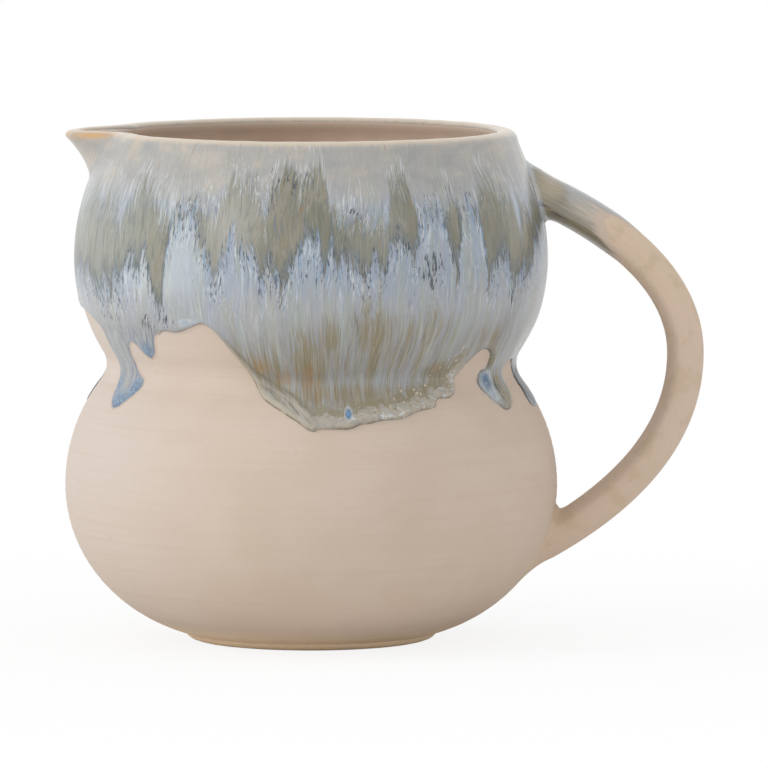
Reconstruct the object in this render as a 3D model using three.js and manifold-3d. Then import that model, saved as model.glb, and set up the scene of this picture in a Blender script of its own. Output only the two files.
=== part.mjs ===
// Stoneware milk jug: two thrown bulbs joined at a waist, on a low foot, with a pulled beak at the rim,
// an ear handle and a run glaze that ends in drips around the waist.
// Millimetres, +Z up. The origin is on the jug's axis at the table. The spout points to -X, the handle to +X.
import * as THREE from "three";
import { mergeVertices } from "three/addons/utils/BufferGeometryUtils.js";
import Module from "manifold-3d";

const wasm = await Module();
wasm.setup();

// Heights of the clay body, stacked from the table up
const FOOT_HEIGHT = 1.9;
const FOOT_TO_BELLY = 37.6;
const BELLY_TO_WAIST = 30.3;
const WAIST_TO_UPPER_BELLY = 27.2;
const UPPER_BELLY_TO_NECK = 19;
const NECK_TO_RIM = 13;

// Radii of the clay body
const UPPER_BELLY_RADIUS = 59.4;
const LOWER_BELLY_EXTRA = 3.1; // how far the lower bulb stands out past the upper one
const WAIST_DEPTH = 9.2; // how far the two bulbs' arcs cross inside the upper bulb's widest ring
const WAIST_ROUNDING = 7; // reach of the finger-smoothed waist, measured in radius
const NECK_INSET = 3.36; // how far the wall has drawn in where the straight neck begins
const BULB_CORE_RADIUS = 20; // radius about which the quarter arcs of both bulbs turn
const FOOT_RADIUS = 31.8;
const FOOT_TAPER = 3.3; // how far the foot draws in down to the table
const FOOT_RING_WIDTH = 7;
const FOOT_RECESS_DEPTH = 0.8;

// Clay thickness and rounding
const WALL = 4.5;
const FLOOR = 5;
const RIM_ROUNDING = 1.7; // height of the rounded top of the wall
const LIP_ROUNDING = 0.9; // the same at the tip of the beak

// Beak at the rim
const SPOUT_OVERHANG = 11.3; // how far the lip stands out past the round rim
const CHANNEL_DEEPENING = 1.5; // how much thinner the lip is than the wall
const SPOUT_DEPTH = 11.8; // from the rim down to where the beak leaves the wall
const SPOUT_HALF_WIDTH = 14; // at the rim, from its middle to where it meets the round
const CHANNEL_INSET = 2.4; // how much narrower the pouring channel is on each side
const SPOUT_DROOP = 0.5; // how far the lip dips below the rim
const SPOUT_FLARE = 1.5; // power by which the beak swings out towards its lip
const SPOUT_ROUNDNESS = 1.4; // power of the beak's plan: higher is more pointed
const SPOUT_ROOT_NARROWING = 0.6; // width of the beak at its root, as a share of its width at the rim
const PINCH_DEPTH = 0.9; // dents left by the two fingers that hold the rim while the lip is pulled
const PINCH_PLACE = 18.2; // from the middle of the beak to each dent
const PINCH_SPREAD = 4.9;
const NOTCH_MARGIN = 4; // width of rim on each side that comes away with the beak

// Handle
const HANDLE_THICKNESS = 9.3;
const HANDLE_WIDTH = 15;
const FINGER_GAP = 27.8; // from the lower bulb to the inside of the handle
const HANDLE_TOP_DROP = 14.4; // from the rim down to the upper joint
const HANDLE_TOP_SLOPE = 19.4; // degrees below level, leaving the body
const HANDLE_APEX_RISE = 2; // outermost point above the waist
const HANDLE_BOTTOM_DROP = 15.6; // from the lower bulb's widest ring down to the lower joint
const HANDLE_BOTTOM_SLOPE = 33.8; // degrees above level, leaving the body
const HANDLE_TOP_PULL = 24.9; // lengths of the curve's tangents, from the upper joint round to the lower one
const HANDLE_UPPER_PULL = 17.3;
const HANDLE_LOWER_PULL = 22.1;
const HANDLE_BOTTOM_PULL = 26.9;
const JOINT_FLARE = 1.5; // how far the smeared clay stands out at each joint
const JOINT_FLARE_LENGTH = 8;

// Glaze
const FIT_GAP = 0.3; // between neighbouring curved pieces
const GLAZE_THICKNESS = 0.7;
const LINER_THICKNESS = 0.4;
const GLAZE_LIP = 1.6; // how far the outer glaze turns down inside the rim
const HANDLE_GLAZE_REACH = 21; // along the handle from the body
const HANDLE_GLAZE_SLANT = 35; // degrees that its end leans from square

// Lower edge of the glaze apron: degrees round from the front towards the handle, and height from the waist
const APRON = [
  [0, -11], [18, -9.8], [35, -6.3], [43, -2], [52, 6.5], [69, 2.2], [90, 2], [112, 7],
  [130, -3], [146, -8.5], [164, -5], [178, 6], [196, 9], [212, -2], [228, -7], [244, -1],
  [258, 9], [275, 14], [291, 12.5], [305, 10], [320, 12.7], [332, 13.5], [341, 5.5], [349, -5],
];
const RUN_BLUNTNESS = 2.5; // power of a run's outline: higher is blunter
// Runs below the apron: degrees round, drop and half width in degrees
const RUNS = [
  [60, 12.5, 8], [84, 12, 8], [121, 9, 9], [171, 12, 9], [204, 12, 9], [252, 12, 8], [272, 19, 8],
  [299, 20, 9], [312, 7, 7],
];

// Fineness of the curved surfaces
const TURNED_SIDES = 40;
const GLAZE_STEP = 5; // degrees between columns
const BODY_STEP = 7.5;
const LINER_STEP = 10;
const SPOUT_STEP = 3;
const SPOUT_SPAN = 30; // degrees on each side of the beak where the columns are closer
const FILL_SIDES = 96;
const FILL_ROWS = 40;
const RIM_STEPS = 4;
const BOWL_STEPS = 5;
const FOOT_STEPS = 4;
const HANDLE_STEPS = 28;
const HANDLE_SIDES = 12;

// Places that follow from the driving dimensions
const bellyHeight = FOOT_HEIGHT + FOOT_TO_BELLY;
const waistHeight = bellyHeight + BELLY_TO_WAIST;
const upperBellyHeight = waistHeight + WAIST_TO_UPPER_BELLY;
const neckHeight = upperBellyHeight + UPPER_BELLY_TO_NECK;
const rimHeight = neckHeight + NECK_TO_RIM;
const floorHeight = FOOT_HEIGHT + FLOOR;
const lowerBellyRadius = UPPER_BELLY_RADIUS + LOWER_BELLY_EXTRA;
const waistRadius = UPPER_BELLY_RADIUS - WAIST_DEPTH;
const neckRadius = UPPER_BELLY_RADIUS - NECK_INSET;
const glazeOut = FIT_GAP + GLAZE_THICKNESS;
const spoutAngle = -Math.PI / 2;

const radians = THREE.MathUtils.degToRad;
const lerp = THREE.MathUtils.lerp;
const steps = (count) => Array.from({ length: count + 1 }, (_, i) => i / count);

// Half height of an ellipse of the given half width that has fallen to (across, along) on its arc
const halfHeight = (along, across, halfWidth) => along / Math.sqrt(1 - (across / halfWidth) ** 2);

// Outer arcs of the two bulbs, as quarter ellipses about the core radius
const lowerWidth = lowerBellyRadius - BULB_CORE_RADIUS;
const upperWidth = UPPER_BELLY_RADIUS - BULB_CORE_RADIUS;
const lowerBelow = halfHeight(FOOT_TO_BELLY, FOOT_RADIUS - BULB_CORE_RADIUS, lowerWidth);
const lowerAbove = halfHeight(BELLY_TO_WAIST, waistRadius - BULB_CORE_RADIUS, lowerWidth);
const upperBelow = halfHeight(WAIST_TO_UPPER_BELLY, waistRadius - BULB_CORE_RADIUS, upperWidth);
const upperAbove = halfHeight(UPPER_BELLY_TO_NECK, neckRadius - BULB_CORE_RADIUS, upperWidth);
const neckSlope =
  (UPPER_BELLY_TO_NECK / (BULB_CORE_RADIUS - neckRadius)) * (upperWidth / upperAbove) ** 2;

function arcRadius(rise, halfWidth, below, above) {
  const share = rise / (rise < 0 ? below : above);
  return BULB_CORE_RADIUS + halfWidth * Math.sqrt(Math.max(0, 1 - share * share));
}

// Radius of the clay's outer face, without the beak
function bodyRadius(height) {
  const lower = arcRadius(height - bellyHeight, lowerWidth, lowerBelow, lowerAbove);
  const upper =
    height > neckHeight
      ? neckRadius + neckSlope * (height - neckHeight)
      : arcRadius(height - upperBellyHeight, upperWidth, upperBelow, upperAbove);
  const blend = Math.max(0, WAIST_ROUNDING - Math.abs(lower - upper)) / WAIST_ROUNDING;
  return Math.max(lower, upper) + (blend * blend * WAIST_ROUNDING) / 4;
}

// Angle between a direction and the spout, wrapped to half a turn
const fromSpout = (angle) => Math.abs(Math.atan2(Math.sin(angle - spoutAngle), Math.cos(angle - spoutAngle)));

const rimRadius = bodyRadius(rimHeight) - WALL / 2;
const beakRise = (height) => THREE.MathUtils.clamp(1 - (rimHeight - height) / SPOUT_DEPTH, 0, 1);

// Share of the beak's reach at an angle: full at its middle and none past its half width, which narrows
// towards its root
function beakShare(angle, height, halfWidth) {
  const spread = (halfWidth / rimRadius) * lerp(SPOUT_ROOT_NARROWING, 1, beakRise(height));
  return Math.cos((Math.PI / 2) * Math.min(1, fromSpout(angle) / spread)) ** SPOUT_ROUNDNESS;
}

// Finger dents beside the beak
function pinch(angle, height) {
  const away = (fromSpout(angle) * rimRadius - PINCH_PLACE) / PINCH_SPREAD;
  return PINCH_DEPTH * beakRise(height) * Math.exp(-away * away);
}

const outerRadius = (angle, height) =>
  bodyRadius(height) +
  SPOUT_OVERHANG * beakRise(height) ** SPOUT_FLARE * beakShare(angle, height, SPOUT_HALF_WIDTH) -
  pinch(angle, height);

const innerRadius = (angle, height) =>
  bodyRadius(height) -
  WALL +
  (SPOUT_OVERHANG + CHANNEL_DEEPENING) *
    beakRise(height) ** SPOUT_FLARE *
    beakShare(angle, height, SPOUT_HALF_WIDTH - CHANNEL_INSET) -
  pinch(angle, height);

// Radius at a true distance off a face, allowing for how the face leans up and around
function offFace(face, angle, height, distance) {
  const reach = 0.01;
  const radius = face(angle, height);
  const lean = (face(angle, height + reach) - face(angle, height - reach)) / (2 * reach);
  const turn = (face(angle + reach, height) - face(angle - reach, height)) / (2 * reach * radius);
  return radius + distance * Math.sqrt(1 + lean * lean + turn * turn);
}

// Height of the rounded top of the wall, and of the line where its rounding begins
const rimShare = (angle) => beakShare(angle, rimHeight, SPOUT_HALF_WIDTH);
const rimRounding = (angle) => lerp(RIM_ROUNDING, LIP_ROUNDING, rimShare(angle));
const rimCentre = (angle) => rimHeight - SPOUT_DROOP * rimShare(angle) - rimRounding(angle);

// Points over the rounded rim from outside to inside, at a distance off the clay
function rimArc(angle, distance) {
  const height = rimCentre(angle);
  const outer = offFace(outerRadius, angle, height, distance);
  const inner = offFace(innerRadius, angle, height, -distance);
  return steps(RIM_STEPS).map((share) => {
    const turn = share * Math.PI;
    return new THREE.Vector2(
      (outer + inner) / 2 + ((outer - inner) / 2) * Math.cos(turn),
      height + (rimRounding(angle) + distance) * Math.sin(turn),
    );
  });
}

// Heights from the first stop to the last, with a count of even steps for each stretch
function levels(stops, counts) {
  const stretches = counts.map((count, i) =>
    steps(count)
      .slice(0, -1)
      .map((share) => lerp(stops[i], stops[i + 1], share)),
  );
  return [...stretches.flat(), stops.at(-1)];
}

// Points on a face at each height, at a distance off the clay
const facePoints = (face, angle, heights, distance) =>
  heights.map((height) => new THREE.Vector2(offFace(face, angle, height, distance), height));

// Quarter arc of the inside of the lower bulb, from its widest ring down to the flat floor
function bowlArc(distance) {
  return steps(BOWL_STEPS).map((share) => {
    const turn = (share * Math.PI) / 2;
    return new THREE.Vector2(
      BULB_CORE_RADIUS + (lowerWidth - WALL - distance) * Math.cos(turn),
      bellyHeight - (bellyHeight - floorHeight - distance) * Math.sin(turn),
    );
  });
}

// Angles of a surface's columns, closer together around the beak
function columnAngles(step) {
  const reach = radians(SPOUT_SPAN);
  const fine = steps(Math.round((2 * reach) / radians(SPOUT_STEP)));
  const coarse = steps(Math.round((2 * Math.PI - 2 * reach) / radians(step)));
  return [
    ...fine.slice(0, -1).map((share) => spoutAngle + lerp(-reach, reach, share)),
    ...coarse.slice(0, -1).map((share) => spoutAngle + lerp(reach, 2 * Math.PI - reach, share)),
  ];
}

// Closed surface around the axis whose section may change with the angle. A section runs up the outside
// and down the inside, and both sides are split along the same diagonals, so that nested surfaces keep apart.
function wrapped(angles, sectionAt) {
  const sections = angles.map(sectionAt);
  const size = sections[0].length;
  const positions = sections.flatMap((section, i) =>
    section.flatMap((p) => [p.x * Math.sin(angles[i]), -p.x * Math.cos(angles[i]), p.y]),
  );
  const index = [];
  for (let i = 0; i < angles.length; i++) {
    const here = i * size;
    const next = ((i + 1) % angles.length) * size;
    for (let j = 0; j < size; j++) {
      const k = (j + 1) % size;
      const rising = sections[i][k].y >= sections[i][j].y;
      if (rising) index.push(here + j, next + j, next + k, here + j, next + k, here + k);
      else index.push(here + j, next + j, here + k, next + j, next + k, here + k);
    }
  }
  return new THREE.BufferGeometry()
    .setAttribute("position", new THREE.Float32BufferAttribute(positions, 3))
    .setIndex(index);
}

// Solid of revolution about the jug's axis
const turned = (profile, sides = TURNED_SIDES) =>
  new THREE.LatheGeometry(profile, sides).rotateX(Math.PI / 2);

// A geometry as a solid for joining and cutting
function solid(geometry) {
  const bare = new THREE.BufferGeometry().setAttribute("position", geometry.getAttribute("position"));
  bare.setIndex(geometry.index);
  const merged = mergeVertices(bare, 1e-3);
  const corners = [];
  for (let i = 0; i < merged.index.count; i += 3) {
    const [a, b, c] = merged.index.array.slice(i, i + 3);
    if (a !== b && b !== c && c !== a) corners.push(a, b, c);
  }
  return new wasm.Manifold(
    new wasm.Mesh({
      numProp: 3,
      vertProperties: merged.getAttribute("position").array,
      triVerts: new Uint32Array(corners),
    }),
  );
}

// A solid back as a geometry
function geometryOf(body) {
  const { vertProperties, triVerts } = body.getMesh();
  const geometry = new THREE.BufferGeometry()
    .setAttribute("position", new THREE.BufferAttribute(vertProperties, 3))
    .setIndex(new THREE.BufferAttribute(triVerts, 1));
  geometry.computeVertexNormals();
  return geometry;
}

// The jug's outside filled in, at a distance off the clay, for trimming what is luted to it
function bodyFill(distance) {
  const heights = levels([FOOT_HEIGHT, rimHeight], [FILL_ROWS]);
  const round = (_, height) => bodyRadius(height);
  const side = facePoints(round, 0, heights, distance);
  const profile = [new THREE.Vector2(0, FOOT_HEIGHT), ...side, new THREE.Vector2(0, rimHeight)];
  return solid(turned(profile, FILL_SIDES));
}

// Low foot with a shallow recess underneath, so that the jug stands on a ring
function foot() {
  const contact = FOOT_RADIUS - FOOT_TAPER;
  const recess = contact - FOOT_RING_WIDTH;
  const side = steps(FOOT_STEPS).map((share) => {
    const turn = (share * Math.PI) / 2;
    return new THREE.Vector2(
      contact + FOOT_TAPER * Math.sin(turn),
      FOOT_HEIGHT * (1 - Math.cos(turn)),
    );
  });
  return turned([
    new THREE.Vector2(0, FOOT_RECESS_DEPTH),
    new THREE.Vector2(recess - FOOT_RECESS_DEPTH, FOOT_RECESS_DEPTH),
    new THREE.Vector2(recess, 0),
    ...side,
    new THREE.Vector2(0, FOOT_HEIGHT),
  ]);
}

// Lower thrown bulb, from the foot to the flat ring at the waist
function lowerBowl() {
  const footTurn = Math.acos((FOOT_RADIUS - BULB_CORE_RADIUS) / lowerWidth);
  const below = steps(BOWL_STEPS).map((share) => {
    const turn = footTurn * (1 - share);
    return new THREE.Vector2(
      BULB_CORE_RADIUS + lowerWidth * Math.cos(turn),
      bellyHeight - lowerBelow * Math.sin(turn),
    );
  });
  const above = levels([bellyHeight, waistHeight - WAIST_ROUNDING, waistHeight], [4, 3]).slice(1);
  return turned([
    new THREE.Vector2(0, FOOT_HEIGHT),
    ...below,
    ...above.map((height) => new THREE.Vector2(bodyRadius(height), height)),
    ...above.reverse().map((height) => new THREE.Vector2(bodyRadius(height) - WALL, height)),
    ...bowlArc(0),
    new THREE.Vector2(0, floorHeight),
  ]);
}

// Heights between which the upper wall changes its curve, up to the lip of the outer glaze
const upperStops = (angle) => [
  waistHeight,
  waistHeight + WAIST_ROUNDING,
  upperBellyHeight,
  rimHeight - SPOUT_DEPTH,
  rimCentre(angle) - GLAZE_LIP - FIT_GAP,
];

// Upper thrown bulb with the beak still in it
function upperShell() {
  return solid(
    wrapped(columnAngles(BODY_STEP), (angle) => {
      const wall = levels([...upperStops(angle), rimCentre(angle)], [3, 2, 2, 3, 1]).slice(0, -1);
      return [
        ...facePoints(outerRadius, angle, wall, 0),
        ...rimArc(angle, 0),
        ...facePoints(innerRadius, angle, wall.reverse(), 0),
      ];
    }),
  );
}

// Wedge that divides the beak from the bulb: a V through the rim, widened by a gap on each side
function notch(gap) {
  const top = rimHeight + WALL;
  const point = rimHeight - SPOUT_DEPTH - WALL;
  const halfAngle = Math.atan((SPOUT_HALF_WIDTH + NOTCH_MARGIN) / (rimHeight - point));
  const low = point - gap / Math.sin(halfAngle);
  const half = (top - low) * Math.tan(halfAngle);
  const outline = new THREE.Shape([
    new THREE.Vector2(0, low),
    new THREE.Vector2(half, top),
    new THREE.Vector2(-half, top),
  ]);
  const depth = lowerBellyRadius + SPOUT_OVERHANG;
  const wedge = new THREE.ExtrudeGeometry(outline, { depth, bevelEnabled: false });
  const sideways = new THREE.Matrix4().makeBasis(
    new THREE.Vector3(0, 1, 0),
    new THREE.Vector3(0, 0, 1),
    new THREE.Vector3(1, 0, 0),
  );
  return solid(wedge.applyMatrix4(sideways).translate(-BULB_CORE_RADIUS - depth, 0, 0));
}

// Height of the glaze's lower edge around the jug
function glazeEdge(angle) {
  const turn = THREE.MathUtils.euclideanModulo(THREE.MathUtils.radToDeg(angle), 360);
  const after = APRON.findIndex(([at]) => at > turn);
  const [fromTurn, fromRise] = APRON.at(after - 1);
  const [toTurn, toRise] = after < 0 ? [APRON[0][0] + 360, APRON[0][1]] : APRON[after];
  const share = THREE.MathUtils.smoothstep(turn, fromTurn, toTurn);
  const runs = RUNS.map(([at, drop, half]) => {
    const away = Math.min(1, Math.abs(turn - at) / half);
    return drop * (1 - away ** RUN_BLUNTNESS);
  });
  return waistHeight + lerp(fromRise, toRise, share) - Math.max(...runs);
}

// Outer glaze: from the drips up over the rim to a lip just inside it
function outerGlaze() {
  const apronTop = waistHeight + Math.max(...APRON.map(([, rise]) => rise)) + WAIST_ROUNDING;
  const coat = wrapped(columnAngles(GLAZE_STEP), (angle) => {
    const rim = rimCentre(angle);
    const lip = [rim - GLAZE_LIP];
    const stops = [glazeEdge(angle), apronTop, ...upperStops(angle).slice(3), rim];
    const wall = levels(stops, [6, 3, 3, 1]).slice(0, -1);
    return [
      ...facePoints(outerRadius, angle, wall, glazeOut),
      ...rimArc(angle, glazeOut),
      ...facePoints(innerRadius, angle, lip, -glazeOut),
      ...facePoints(innerRadius, angle, lip, -FIT_GAP),
      ...rimArc(angle, FIT_GAP).reverse(),
      ...facePoints(outerRadius, angle, wall.reverse(), FIT_GAP),
    ];
  });
  return solid(coat);
}

// Clear glaze that seals the inside
function liner() {
  const near = FIT_GAP;
  const far = FIT_GAP + LINER_THICKNESS;
  return wrapped(columnAngles(LINER_STEP), (angle) => {
    const stops = [bellyHeight, waistHeight - WAIST_ROUNDING, ...upperStops(angle)];
    const wall = levels(stops, [2, 3, 3, 2, 2, 3]).slice(1);
    return [
      new THREE.Vector2(0, floorHeight + near),
      ...bowlArc(near).reverse(),
      ...facePoints(innerRadius, angle, wall, -near),
      ...facePoints(innerRadius, angle, wall.reverse(), -far),
      ...bowlArc(far),
      new THREE.Vector2(0, floorHeight + far),
    ];
  });
}

// Centre line of the handle, in the jug's middle plane, from inside the upper wall to inside the lower wall
function handlePath() {
  const point = (radius, height) => new THREE.Vector3(radius, 0, height);
  const along = (start, slope, length) =>
    start.clone().add(point(Math.cos(slope), Math.sin(slope)).multiplyScalar(length));
  const topHeight = rimHeight - HANDLE_TOP_DROP;
  const bottomHeight = bellyHeight - HANDLE_BOTTOM_DROP;
  const apexHeight = waistHeight + HANDLE_APEX_RISE;
  const apexRadius = lowerBellyRadius + FINGER_GAP + HANDLE_THICKNESS / 2;
  const topSlope = radians(-HANDLE_TOP_SLOPE);
  const bottomSlope = radians(HANDLE_BOTTOM_SLOPE);
  const top = point(bodyRadius(topHeight), topHeight);
  const bottom = point(bodyRadius(bottomHeight), bottomHeight);
  const apex = point(apexRadius, apexHeight);
  const path = new THREE.CurvePath();
  path.add(new THREE.LineCurve3(along(top, topSlope, -WALL), top));
  path.add(
    new THREE.CubicBezierCurve3(
      top,
      along(top, topSlope, HANDLE_TOP_PULL),
      point(apexRadius, apexHeight + HANDLE_UPPER_PULL),
      apex,
    ),
  );
  path.add(
    new THREE.CubicBezierCurve3(
      apex,
      point(apexRadius, apexHeight - HANDLE_LOWER_PULL),
      along(bottom, bottomSlope, HANDLE_BOTTOM_PULL),
      bottom,
    ),
  );
  path.add(new THREE.LineCurve3(bottom, along(bottom, bottomSlope, -WALL)));
  return path;
}

// Oval bar along the handle's centre line, flared where its clay is smeared onto the body
function handleBar(grow, until = 1) {
  const path = handlePath();
  const length = path.getLength();
  const rings = steps(HANDLE_STEPS).map((part) => {
    const share = part * until;
    const centre = path.getPointAt(share);
    const tangent = path.getTangentAt(share);
    const outward = new THREE.Vector3(tangent.z, 0, -tangent.x);
    const toEnd = Math.min(share, 1 - share) * length - WALL;
    const flare = JOINT_FLARE * THREE.MathUtils.clamp(1 - toEnd / JOINT_FLARE_LENGTH, 0, 1) ** 2;
    const halfThick = HANDLE_THICKNESS / 2 + flare + grow;
    const halfWide = HANDLE_WIDTH / 2 + flare + grow;
    return steps(HANDLE_SIDES)
      .slice(0, -1)
      .map((turn) =>
        centre
          .clone()
          .addScaledVector(outward, halfThick * Math.cos(2 * Math.PI * turn))
          .add(new THREE.Vector3(0, halfWide * Math.sin(2 * Math.PI * turn), 0)),
      );
  });
  const ends = [path.getPointAt(0), path.getPointAt(until)];
  const positions = [...rings.flat(), ...ends].flatMap((p) => p.toArray());
  const last = HANDLE_STEPS * HANDLE_SIDES;
  const [startCap, endCap] = [last + HANDLE_SIDES, last + HANDLE_SIDES + 1];
  const index = [];
  for (let j = 0; j < HANDLE_SIDES; j++) {
    const side = (j + 1) % HANDLE_SIDES;
    index.push(startCap, side, j, endCap, last + j, last + side);
    for (let ring = 0; ring < last; ring += HANDLE_SIDES) {
      const ahead = ring + HANDLE_SIDES;
      index.push(ring + j, ring + side, ahead + side, ring + j, ahead + side, ahead + j);
    }
  }
  return solid(
    new THREE.BufferGeometry()
      .setAttribute("position", new THREE.Float32BufferAttribute(positions, 3))
      .setIndex(index),
  );
}

// Block that takes away what lies past the slanted end of the handle's glaze
function handleGlazeEnd() {
  const path = handlePath();
  const share = (WALL + HANDLE_GLAZE_REACH) / path.getLength();
  const centre = path.getPointAt(share);
  const tangent = path.getTangentAt(share);
  const size = 2 * rimHeight;
  const lean = Math.atan2(tangent.z, tangent.x) + radians(HANDLE_GLAZE_SLANT);
  const block = new THREE.BoxGeometry(size, size, size).translate(size / 2, 0, 0).rotateY(-lean);
  return solid(block.translate(centre.x, centre.y, centre.z));
}

// Finishes
const clay = new THREE.MeshStandardMaterial({ color: 0xd6c1ad, roughness: 0.85, metalness: 0 });
const runGlaze = new THREE.MeshStandardMaterial({ color: 0xa4adb2, roughness: 0.2, metalness: 0 });
const clearGlaze = new THREE.MeshStandardMaterial({ color: 0x8d7a6a, roughness: 0.4, metalness: 0 });

function piece(name, geometry, material) {
  const mesh = new THREE.Mesh(geometry, material);
  mesh.name = name;
  return mesh;
}

const shell = upperShell();
const handle = handleBar(0).subtract(bodyFill(FIT_GAP));
const coat = outerGlaze().subtract(handleBar(FIT_GAP));
const upperHalf = 0.5;
const sleeve = handleBar(glazeOut, upperHalf)
  .subtract(handleBar(FIT_GAP))
  .subtract(handleGlazeEnd())
  .subtract(bodyFill(glazeOut + FIT_GAP));

const body = new THREE.Group();
body.add(piece("foot", foot(), clay));
body.add(piece("lower_bowl", lowerBowl(), clay));
body.add(piece("upper_bowl", geometryOf(shell.subtract(notch(FIT_GAP))), clay));
body.add(piece("spout", geometryOf(shell.intersect(notch(0))), clay));
body.add(piece("handle", geometryOf(handle), clay));

const glazing = new THREE.Group();
glazing.add(piece("outer_glaze", geometryOf(coat), runGlaze));
glazing.add(piece("handle_glaze", geometryOf(sleeve), runGlaze));
glazing.add(piece("liner_glaze", liner(), clearGlaze));

const jug = new THREE.Group();
jug.add(body, glazing);

export default jug;
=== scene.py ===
"""Stoneware milk jug on a white table: two bulbs of clay, a pulled beak, an ear handle and a run glaze.

Sizes are in millimetres in the jug's own frame: the axis is Z, the spout points to -X, the handle to
+X, and the photographed side faces -Y. Angles round the jug start at that side and grow towards the
handle. Heights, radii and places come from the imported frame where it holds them.
"""

import logging
import math
from dataclasses import dataclass
from enum import Enum

import bmesh
import bpy
import numpy as np
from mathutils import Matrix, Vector


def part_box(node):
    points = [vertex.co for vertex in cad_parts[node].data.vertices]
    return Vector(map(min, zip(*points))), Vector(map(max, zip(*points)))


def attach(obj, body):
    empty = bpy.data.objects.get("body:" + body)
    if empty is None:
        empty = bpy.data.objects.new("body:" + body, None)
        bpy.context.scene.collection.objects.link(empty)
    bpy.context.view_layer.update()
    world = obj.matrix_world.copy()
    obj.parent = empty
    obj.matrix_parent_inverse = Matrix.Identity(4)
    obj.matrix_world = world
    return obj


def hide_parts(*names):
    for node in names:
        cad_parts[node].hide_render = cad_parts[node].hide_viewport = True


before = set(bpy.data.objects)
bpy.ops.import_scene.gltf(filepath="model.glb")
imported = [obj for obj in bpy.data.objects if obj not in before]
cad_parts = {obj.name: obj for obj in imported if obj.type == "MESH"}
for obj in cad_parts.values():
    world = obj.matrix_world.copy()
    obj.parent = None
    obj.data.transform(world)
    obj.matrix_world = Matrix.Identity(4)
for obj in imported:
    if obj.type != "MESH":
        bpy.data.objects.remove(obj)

log = logging.getLogger("milk_jug")
MM = 0.001
Grid = np.ndarray
Colour = tuple[int, int, int]
Span = tuple[float, float]
Socket = bpy.types.NodeSocket


class Slot(Enum):
    """The record's material slots."""

    CLAY = "bare_clay"
    RUN_GLAZE = "run_glaze"
    CLEAR_GLAZE = "clear_glaze"


class Streak(Enum):
    """Sizes of the marks that flowing glaze leaves, as width and height in millimetres."""

    STRAND = (1.7, 22.0)
    FINE = (0.66, 11.0)
    HAIR = (0.3, 7.0)
    NICK = (0.42, 2.4)


def smoothstep(low: float, high: float, value: Grid) -> Grid:
    """Eased ramp from 0 to 1, between the values where it starts and ends."""
    share = np.clip((value - low) / (high - low), 0, 1)
    return share * share * (3 - 2 * share)


def between(value: Grid, start: Span, end: Span) -> Grid:
    """Eased share of a stretch, by where it is 0 and 1 before the stretch and after it."""
    return smoothstep(*start, value) * smoothstep(*end, value)


def wrapped(degrees: Grid) -> Grid:
    """Angles brought into the half turn on each side of the photographed side."""
    return (np.asarray(degrees, float) + 180) % 360 - 180


def linear(colour: Colour) -> tuple[float, float, float, float]:
    """Screen colour as the linear values that shaders take.

    Args:
        colour: Red, green and blue from 0 to 255.

    Returns:
        Linear red, green, blue and an alpha of 1.
    """
    shares = [value / 255 for value in colour]
    made = [s / 12.92 if s <= 0.04045 else ((s + 0.055) / 1.055) ** 2.4 for s in shares]
    return (*made, 1.0)


def numbered(rows: int, columns: int) -> Grid:
    """Numbers of a skin's points by row and column."""
    return np.arange(rows * columns).reshape(rows, columns)


def quads_of(index: Grid) -> Grid:
    """Faces between the rows of a skin that closes round its columns, by its points' numbers."""
    after = np.roll(index, -1, axis=1)
    return np.stack([index[:-1], after[:-1], after[1:], index[1:]], axis=-1)


class Grain:
    """Smooth repeatable noise for shapes, from random values on a lattice."""

    SIZE = 64

    def __init__(self, seed: int) -> None:
        """Fills the lattice from a seed."""
        self.lattice = np.random.default_rng(seed).uniform(-1, 1, (self.SIZE,) * 3)

    def at(self, points: Grid, scale: float) -> Grid:
        """Noise at points.

        Args:
            points: Array whose last axis is x, y, z.
            scale: Size of one lattice cell.

        Returns:
            Values from -1 to 1.
        """
        place = np.asarray(points) / scale
        cell = np.floor(place).astype(int)
        part = place - cell
        part = part * part * (3 - 2 * part)
        total = np.zeros(place.shape[:-1])
        for corner in np.ndindex(2, 2, 2):
            at = (cell + corner) % self.SIZE
            share = np.prod(np.where(corner, part, 1 - part), axis=-1)
            total += share * self.lattice[at[..., 0], at[..., 1], at[..., 2]]
        return total


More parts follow.
